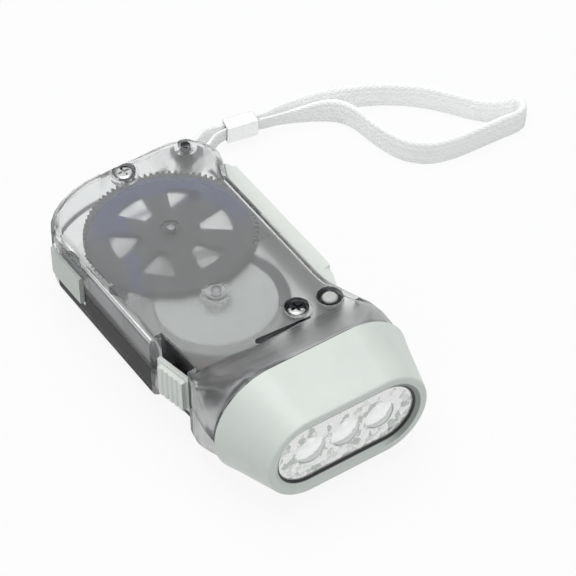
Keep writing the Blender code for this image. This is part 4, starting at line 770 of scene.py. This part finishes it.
def make_lens(finish, plate_finish):
    """The pebbled window plate with a clear dome in front of each lamp."""
    half = [size + LENS_LIP for size in WINDOW]
    plate = draw_through("lens", [(LENS_FRONT_Y + LENS_THICKNESS, *half), (LENS_FRONT_Y, *half)])
    sphere = (DOME_RADIUS ** 2 + DOME_HEIGHT ** 2) / (2 * DOME_HEIGHT)
    centre_y = LENS_FRONT_Y - DOME_HEIGHT + sphere
    for x in LAMP_XS:
        dome = start(bpy.ops.mesh.primitive_uv_sphere_add, segments=DOME_SEGMENTS, ring_count=DOME_RINGS,
                     radius=sphere, location=(x, centre_y, 0), rotation=(math.pi / 2, 0, 0))
        bpy.ops.object.transform_apply(location=True, rotation=True, scale=True)
        edit(dome)
        bpy.ops.mesh.select_all(action="SELECT")
        bpy.ops.mesh.bisect(plane_co=(x, LENS_FRONT_Y, 0), plane_no=(0, 1, 0), clear_outer=True)
        bpy.ops.mesh.extrude_region_move(TRANSFORM_OT_translate={"value": (0, LENS_THICKNESS / 2, 0)})
        bpy.ops.mesh.edge_face_add()
        bpy.ops.object.mode_set(mode="OBJECT")
        close_up(dome)
        modify(plate, "BOOLEAN", object=dome, operation="UNION", solver="EXACT")
        bpy.data.objects.remove(dome)
    smooth(plate, LENS_SHARP)
    lay_down(plate)
    dress(plate, "lens", "flashlight_body", finish, "front_lens")
    plate.data.materials.append(plate_finish)
    flat = LAID_DOWN.inverted()
    for face in plate.data.polygons:
        x, y, z = flat @ face.center
        nearest = min(math.hypot(x - lamp, z) for lamp in LAMP_XS)
        if abs(y - LENS_FRONT_Y) < NEAR and nearest > DOME_RADIUS or len(face.vertices) > DOME_CORNERS:
            face.material_index = 1


# Strap

def along_route(route, step):
    """Points every step along a smooth curve through the route's own points, and its length."""
    spots = [Vector(point) for point in route]
    spots = [2 * spots[0] - spots[1]] + spots + [2 * spots[-1] - spots[-2]]
    fine = []
    for p0, p1, p2, p3 in zip(spots, spots[1:], spots[2:], spots[3:]):
        for part in range(CURVE_PARTS):
            t = part / CURVE_PARTS
            fine.append(((2 * p1) + (p2 - p0) * t + (2 * p0 - 5 * p1 + 4 * p2 - p3) * t ** 2
                         + (3 * p1 - p0 - 3 * p2 + p3) * t ** 3) / 2)
    fine.append(spots[-2])
    lengths = [0]
    for before, after in zip(fine, fine[1:]):
        lengths.append(lengths[-1] + (after - before).length)
    count = max(round(lengths[-1] / step), 2)
    points, after = [], 1
    for number in range(count + 1):
        wanted = lengths[-1] * number / count
        while lengths[after] < wanted - ROUTE_SLACK:
            after += 1
        share = (wanted - lengths[after - 1]) / (lengths[after] - lengths[after - 1])
        points.append(fine[after - 1].lerp(fine[after], share))
    return points, lengths[-1]


def eased(share):
    share = min(max(share, 0), 1)
    return share * share * (3 - 2 * share)


def braid_outline(width, thickness, along):
    """Points round the flat braid: raised rows on each face, with slanting stitches pressed into them."""
    points = []
    for number in range(BRAID_POINTS):
        a = 2 * math.pi * number / BRAID_POINTS
        u = math.copysign(abs(math.cos(a)) ** SIDE_POWER, math.cos(a))
        across = (u + 1) / 2
        v = math.copysign(abs(math.sin(a)) ** FACE_POWER, math.sin(a))
        row = (across * BRAID_ROWS) % 1
        crown = 1 - ROW_DEPTH_SHARE + ROW_DEPTH_SHARE * math.sin(math.pi * row) ** FACE_POWER
        slant = along / STITCH + abs(row - 0.5) * STITCH_SLANT
        stitch = 1 + STITCH_DEPTH_SHARE * math.sin(2 * math.pi * slant)
        points.append((u * width, v * thickness * crown * stitch, across))
    return points


def braid(name, route, shares, length):
    """A flat braid on its edge along a route, closed at its ends, with its own map along and across."""
    mesh = bmesh.new()
    rings = []
    for number, (centre, share) in enumerate(zip(route, shares)):
        before, after = route[max(number - 1, 0)], route[min(number + 1, len(route) - 1)]
        along = (after - before).normalized()
        sideways = along.cross(Vector((0, 0, 1))).normalized()
        upright = sideways.cross(along).normalized()
        reach = length * number / (len(route) - 1)
        outline = braid_outline(BRAID_HALF_WIDTH * share, BRAID_HALF_THICKNESS * share, reach)
        rings.append([(mesh.verts.new(centre + upright * u + sideways * v), reach, across)
                      for u, v, across in outline])
    strap = mesh.loops.layers.uv.new("strap")
    for ring, following in zip(rings, rings[1:]):
        for spot in range(BRAID_POINTS):
            turn = (spot + 1) % BRAID_POINTS
            corners = [ring[spot], following[spot], following[turn], ring[turn]]
            face = mesh.faces.new([corner[0] for corner in corners])
            for loop, corner in zip(face.loops, corners):
                loop[strap].uv = (corner[1], corner[2])
    mesh.faces.new([corner[0] for corner in rings[0]])
    mesh.faces.new([corner[0] for corner in reversed(rings[-1])])
    bmesh.ops.recalc_face_normals(mesh, faces=mesh.faces)
    data = bpy.data.meshes.new(name)
    mesh.to_mesh(data)
    mesh.free()
    piece = bpy.data.objects.new(name, data)
    bpy.context.scene.collection.objects.link(piece)
    take(piece)
    bpy.ops.object.shade_smooth_by_angle(angle=BRAID_SHARP)
    return piece


def braid_shares(count, length, widest, from_end, rise):
    """The braid's width along it, as shares of its full width: narrow at the crimp and wide past it."""
    shares = []
    for number in range(count):
        reach = length * min(number, count - 1 - number) / (count - 1)
        shares.append(CRIMP_SHARE + (widest - CRIMP_SHARE) * eased((reach - from_end) / rise))
    return shares


def make_strap(finish):
    """The wrist loop on the floor and the short loop round the post in the tail corner."""
    route, length = along_route(WRIST_ROUTE, BRAID_STEP)
    shares = braid_shares(len(route), length, 1, CRIMP_LENGTH / 2, 2 * CRIMP_LENGTH)
    wrist = braid("wrist", route, shares, length)
    dress(wrist, "wrist_braid", "flashlight_body", finish, "wrist_strap")

    post = LAID_DOWN @ Vector((*POST, 0))
    radius = POST_RADIUS + BRAID_HALF_THICKNESS * ANCHOR_SHARE
    leave = math.atan2(CRIMP_START[1] - post.y, CRIMP_START[0] - post.x)
    round_post = []
    for step in range(POST_STEPS + 1):
        a = leave - math.pi / 2 - math.pi * step / POST_STEPS
        round_post.append((post.x + radius * math.cos(a), post.y + radius * math.sin(a), post.z))
    route, length = along_route(ANCHOR_FRONT + round_post + ANCHOR_BACK, BRAID_STEP)
    shares = braid_shares(len(route), length, ANCHOR_SHARE, 0, CRIMP_LENGTH)
    anchor = braid("anchor", route, shares, length)
    dress(anchor, "anchor_braid", "flashlight_body", finish, "strap_anchor_loop")


# Finishes

smoke_outside = smoke_plastic("smoky plastic, polished outside", (0.88, 0.89, 0.89), 0.05, darkest=0.5,
                              head_blur=0.25)
smoke_inside = smoke_plastic("smoky plastic, frosted inside", (0.76, 0.77, 0.77), 0.08, blur=0.22)
smoke_bright = smoke_plastic("smoky plastic, bright edge", (0.80, 0.81, 0.81), 0.08, coat=0.7, coat_ior=3.2)
# Darker copies for the left side walls: painted shade where they turn from the light, over the darker look
# of plastic seen through its thickness
smoke_upper_side_shade = smoke_plastic("smoky plastic, upper side in painted shade", (0.30, 0.305, 0.31), 0.12, coat=0, ior=1.2)
smoke_lower_side_shade = smoke_plastic("smoky plastic, lower side in painted shade", (0.02, 0.021, 0.022), 0.12, coat=0, ior=1.12)
smoke_soft = smoke_plastic("smoky plastic, soft tail edge", (0.94, 0.95, 0.95), 0.35, coat=0, ior=1.08,
                           darkest=0.9)
# Dark where the plastic is thick or joined, and painted shade in the recesses, groove and notch
smoke_thick_and_shade = smoke_plastic("smoky plastic, thick places and painted shade", (0.05, 0.05, 0.055), 0.3, coat=0, ior=1.15)
pale = moulded("pale grey plastic", (0.72, 0.76, 0.715), 0.38, coat=0.15)
# Darker and lighter copies of the pale plastic: painted shade on the lock, painted light on the lever and
# the switch slide
pale_in_shade = moulded("pale plastic in painted shade", (0.60, 0.635, 0.60), 0.42)
pale_lit = moulded("pale plastic in painted light", (0.78, 0.81, 0.77), 0.36, coat=0.1)
recess = shaded_recess_wall("pale recess wall in painted shade", (0.66, 0.70, 0.66))
clear = lens_clear("clear lens")
pebbles = pebbled("pebbled lens plate")
# A darker copy of the pale plastic: painted shade on the pin in its recess
pale_pin_in_shade = moulded("pale pin plastic in painted shade", (0.50, 0.52, 0.50), 0.35, coat=0.3)
silver = silvering("silvered cups")
lamps = lamp_epoxy("lamp cases")
board_green = moulded("green board", (0.03, 0.16, 0.08), 0.3)
dark = moulded("dark plastic", (0.05, 0.05, 0.055), 0.45)
gear_grey = gear_plastic("gear grey", (0.122, 0.124, 0.128), (0.085, 0.115, 0.275))
disc_white = moulded("white disc", (0.95, 0.97, 0.95), 0.4)
magnet = magnet_grey("magnet grey with painted light", (0.12, 0.12, 0.13), (0.60, 0.61, 0.60))
steel = metal("plated steel", (0.55, 0.55, 0.56), 0.3)
tail_steel = screw_steel("tail screw steel", TAIL_SCREW, TAIL_SCREW_SHADE)
head_steel = screw_steel("head screw steel", HEAD_SCREW, HEAD_SCREW_SHADE)
copper = metal("enamelled winding", (0.30, 0.17, 0.12), 0.35, (1, 1, 60))
blue = moulded("blue wire", (0.08, 0.11, 0.55), 0.4)
braid_finish = braid_cord("braided cord")
crimp_metal = metal("painted crimp", (0.93, 0.94, 0.93), 0.35)

# CAD solid, name of the finished piece, body, finish, slot, width of its softened edges
REFINED = [
    ("reflector", "silver_reflector", "flashlight_body", silver, "silvered_plastic", 0.0001),
    ("led_left", "lamp_left", "flashlight_body", lamps, "lamp_clear", 0),
    ("led_centre", "lamp_centre", "flashlight_body", lamps, "lamp_clear", 0),
    ("led_right", "lamp_right", "flashlight_body", lamps, "lamp_clear", 0),
    ("squeeze_lever", "hand_lever", "lever", pale_lit, "pale_plastic", 0.0002),
    ("lever_rack", "toothed_sector", "lever", gear_grey, "gear_plastic", 0),
    ("rack_pinion", "small_pinion", "gear_train", gear_grey, "gear_plastic", 0),
    ("ratchet_pawl", "pawl", "gear_train", steel, "steel", 0),
    ("drive_gear", "big_gear", "gear_train", gear_grey, "gear_plastic", 0.00012),
    ("rotor_pinion", "rotor_gear", "rotor", disc_white, "gear_plastic", 0),
    ("flywheel", "flywheel_disc", "rotor", disc_white, "disc_plastic", 0.0002),
    ("ring_magnet", "magnet_ring", "rotor", magnet, "magnet", 0.0002),
    ("gear_shaft", "gear_pin", "flashlight_body", steel, "steel", 0.0002),
    ("rotor_shaft", "rotor_pin", "flashlight_body", steel, "steel", 0.0002),
    ("coil_bobbin", "bobbin", "flashlight_body", dark, "dark_plastic", 0),
    ("coil_winding", "winding", "flashlight_body", copper, "copper", 0),
    ("coil_wire", "blue_lead", "flashlight_body", blue, "blue_wire", 0),
    ("lever_spring", "return_spring", "flashlight_body", steel, "steel", 0),
    ("lever_pivot_pin", "pivot_pin", "flashlight_body", pale_pin_in_shade, "pale_plastic", 0.0003),
    ("case_screw_tail", "tail_screw", "flashlight_body", tail_steel, "steel", 0.0001),
    ("case_screw_head", "head_screw", "flashlight_body", head_steel, "steel", 0.0001),
    ("lock_button", "lock_key", "lock", pale_in_shade, "pale_plastic", 0.0002),
    ("switch_button", "switch_slide", "switch", pale_lit, "pale_plastic", 0.00015),
    ("strap_post", "post", "flashlight_body", dark, "dark_plastic", 0.0002),
    ("cell_left", "left_cell", "flashlight_body", steel, "steel", 0.0003),
    ("cell_centre", "centre_cell", "flashlight_body", steel, "steel", 0.0003),
    ("cell_right", "right_cell", "flashlight_body", steel, "steel", 0.0003),
    ("stator_poles", "poles", "flashlight_body", steel, "steel", 0.0001),
]

# CAD solids that show only as blurred shapes and stay as they are, with their finish
BLURRED = [
    ("led_board", board_green), ("switch_body", dark), ("stator_base", steel), ("contact_left", steel),
    ("contact_right", steel),
]

make_camera()
crimp = refined("strap_crimp", CRIMP_EDGE)
dress(crimp, "crimp", "flashlight_body", crimp_metal, "strap_crimp")
make_strap(braid_finish)
make_bezel(pale, recess)
make_lens(clear, pebbles)
make_shell("top_case", "top_shell", smoke_upper_side_shade)
make_shell("bottom_case", "bottom_shell", smoke_lower_side_shade)
for node, name, body, finish, slot, edge in REFINED:
    dress(refined(node, edge), name, body, finish, node)
for node, finish in BLURRED:
    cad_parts[node].data.materials.clear()
    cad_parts[node].data.materials.append(finish)


# Floor and light

FLOOR_SIZE = 8
FLOOR_GREY = (0.60, 0.61, 0.61, 1)
FLOOR_WHITE = (1, 1, 1, 1)
FLOOR_GLOW = 1.04
FLOOR_WHITE_SHARE = 0.86
SKY = (0.97, 0.99, 1.0, 1)
SKY_STRENGTH = 0.42
AIM = (0, 0, 0.01)
# Name, place, width and length, power in watts
LIGHTS = [
    ("overhead", (0.0, 0.1, 0.9), (0.7, 0.7), 4.4),
    ("behind right", (0.40, 0.66, 0.72), (0.5, 0.4), 0.7),
    ("left edge", (-0.80, 0.55, 0.42), (0.3, 0.5), 1.2),
    ("front left", (-0.7, -0.7, 0.55), (0.5, 0.4), 0.6),
    ("front right", (0.35, -0.85, 0.40), (0.5, 0.4), 0.7),
]


def make_floor():
    """A pale floor that the camera sees as white wherever the object leaves it in the light."""
    floor = start(bpy.ops.mesh.primitive_plane_add, size=FLOOR_SIZE)
    floor.name = "floor"
    finish = Finish("pale floor", Base_Color=FLOOR_GREY, Roughness=0.9)
    rays = finish.add("ShaderNodeLightPath").socket.node.outputs
    seen = Value(finish, rays["Is Camera Ray"])
    for kind in ("Is Glossy Ray", "Is Transmission Ray"):
        seen = larger(seen, Value(finish, rays[kind]))
    white = finish.add("ShaderNodeEmission", None, {"Color": FLOOR_WHITE, "Strength": FLOOR_GLOW})
    lit = Value(finish, finish.shader.outputs[0])
    mixed = finish.add("ShaderNodeMixShader", None, {0: seen * FLOOR_WHITE_SHARE, 1: lit, 2: white})
    finish.set(finish.nodes["Material Output"], {"Surface": mixed})
    floor.data.materials.append(finish.material)


def make_light(name, place, size, power):
    lamp = bpy.data.objects.new(name, bpy.data.lights.new(name, "AREA"))
    lamp.data.shape = "RECTANGLE"
    lamp.data.size, lamp.data.size_y = size
    lamp.data.energy = power
    lamp.location = place
    lamp.rotation_euler = (Vector(AIM) - Vector(place)).to_track_quat("-Z", "Y").to_euler()
    bpy.context.scene.collection.objects.link(lamp)


def make_world():
    world = bpy.data.worlds.new("studio")
    world.use_nodes = True
    world.node_tree.nodes["Background"].inputs["Color"].default_value = SKY
    world.node_tree.nodes["Background"].inputs["Strength"].default_value = SKY_STRENGTH
    bpy.context.scene.world = world


make_floor()
for light in LIGHTS:
    make_light(*light)
make_world()
bpy.context.scene.view_settings.view_transform = "Standard"
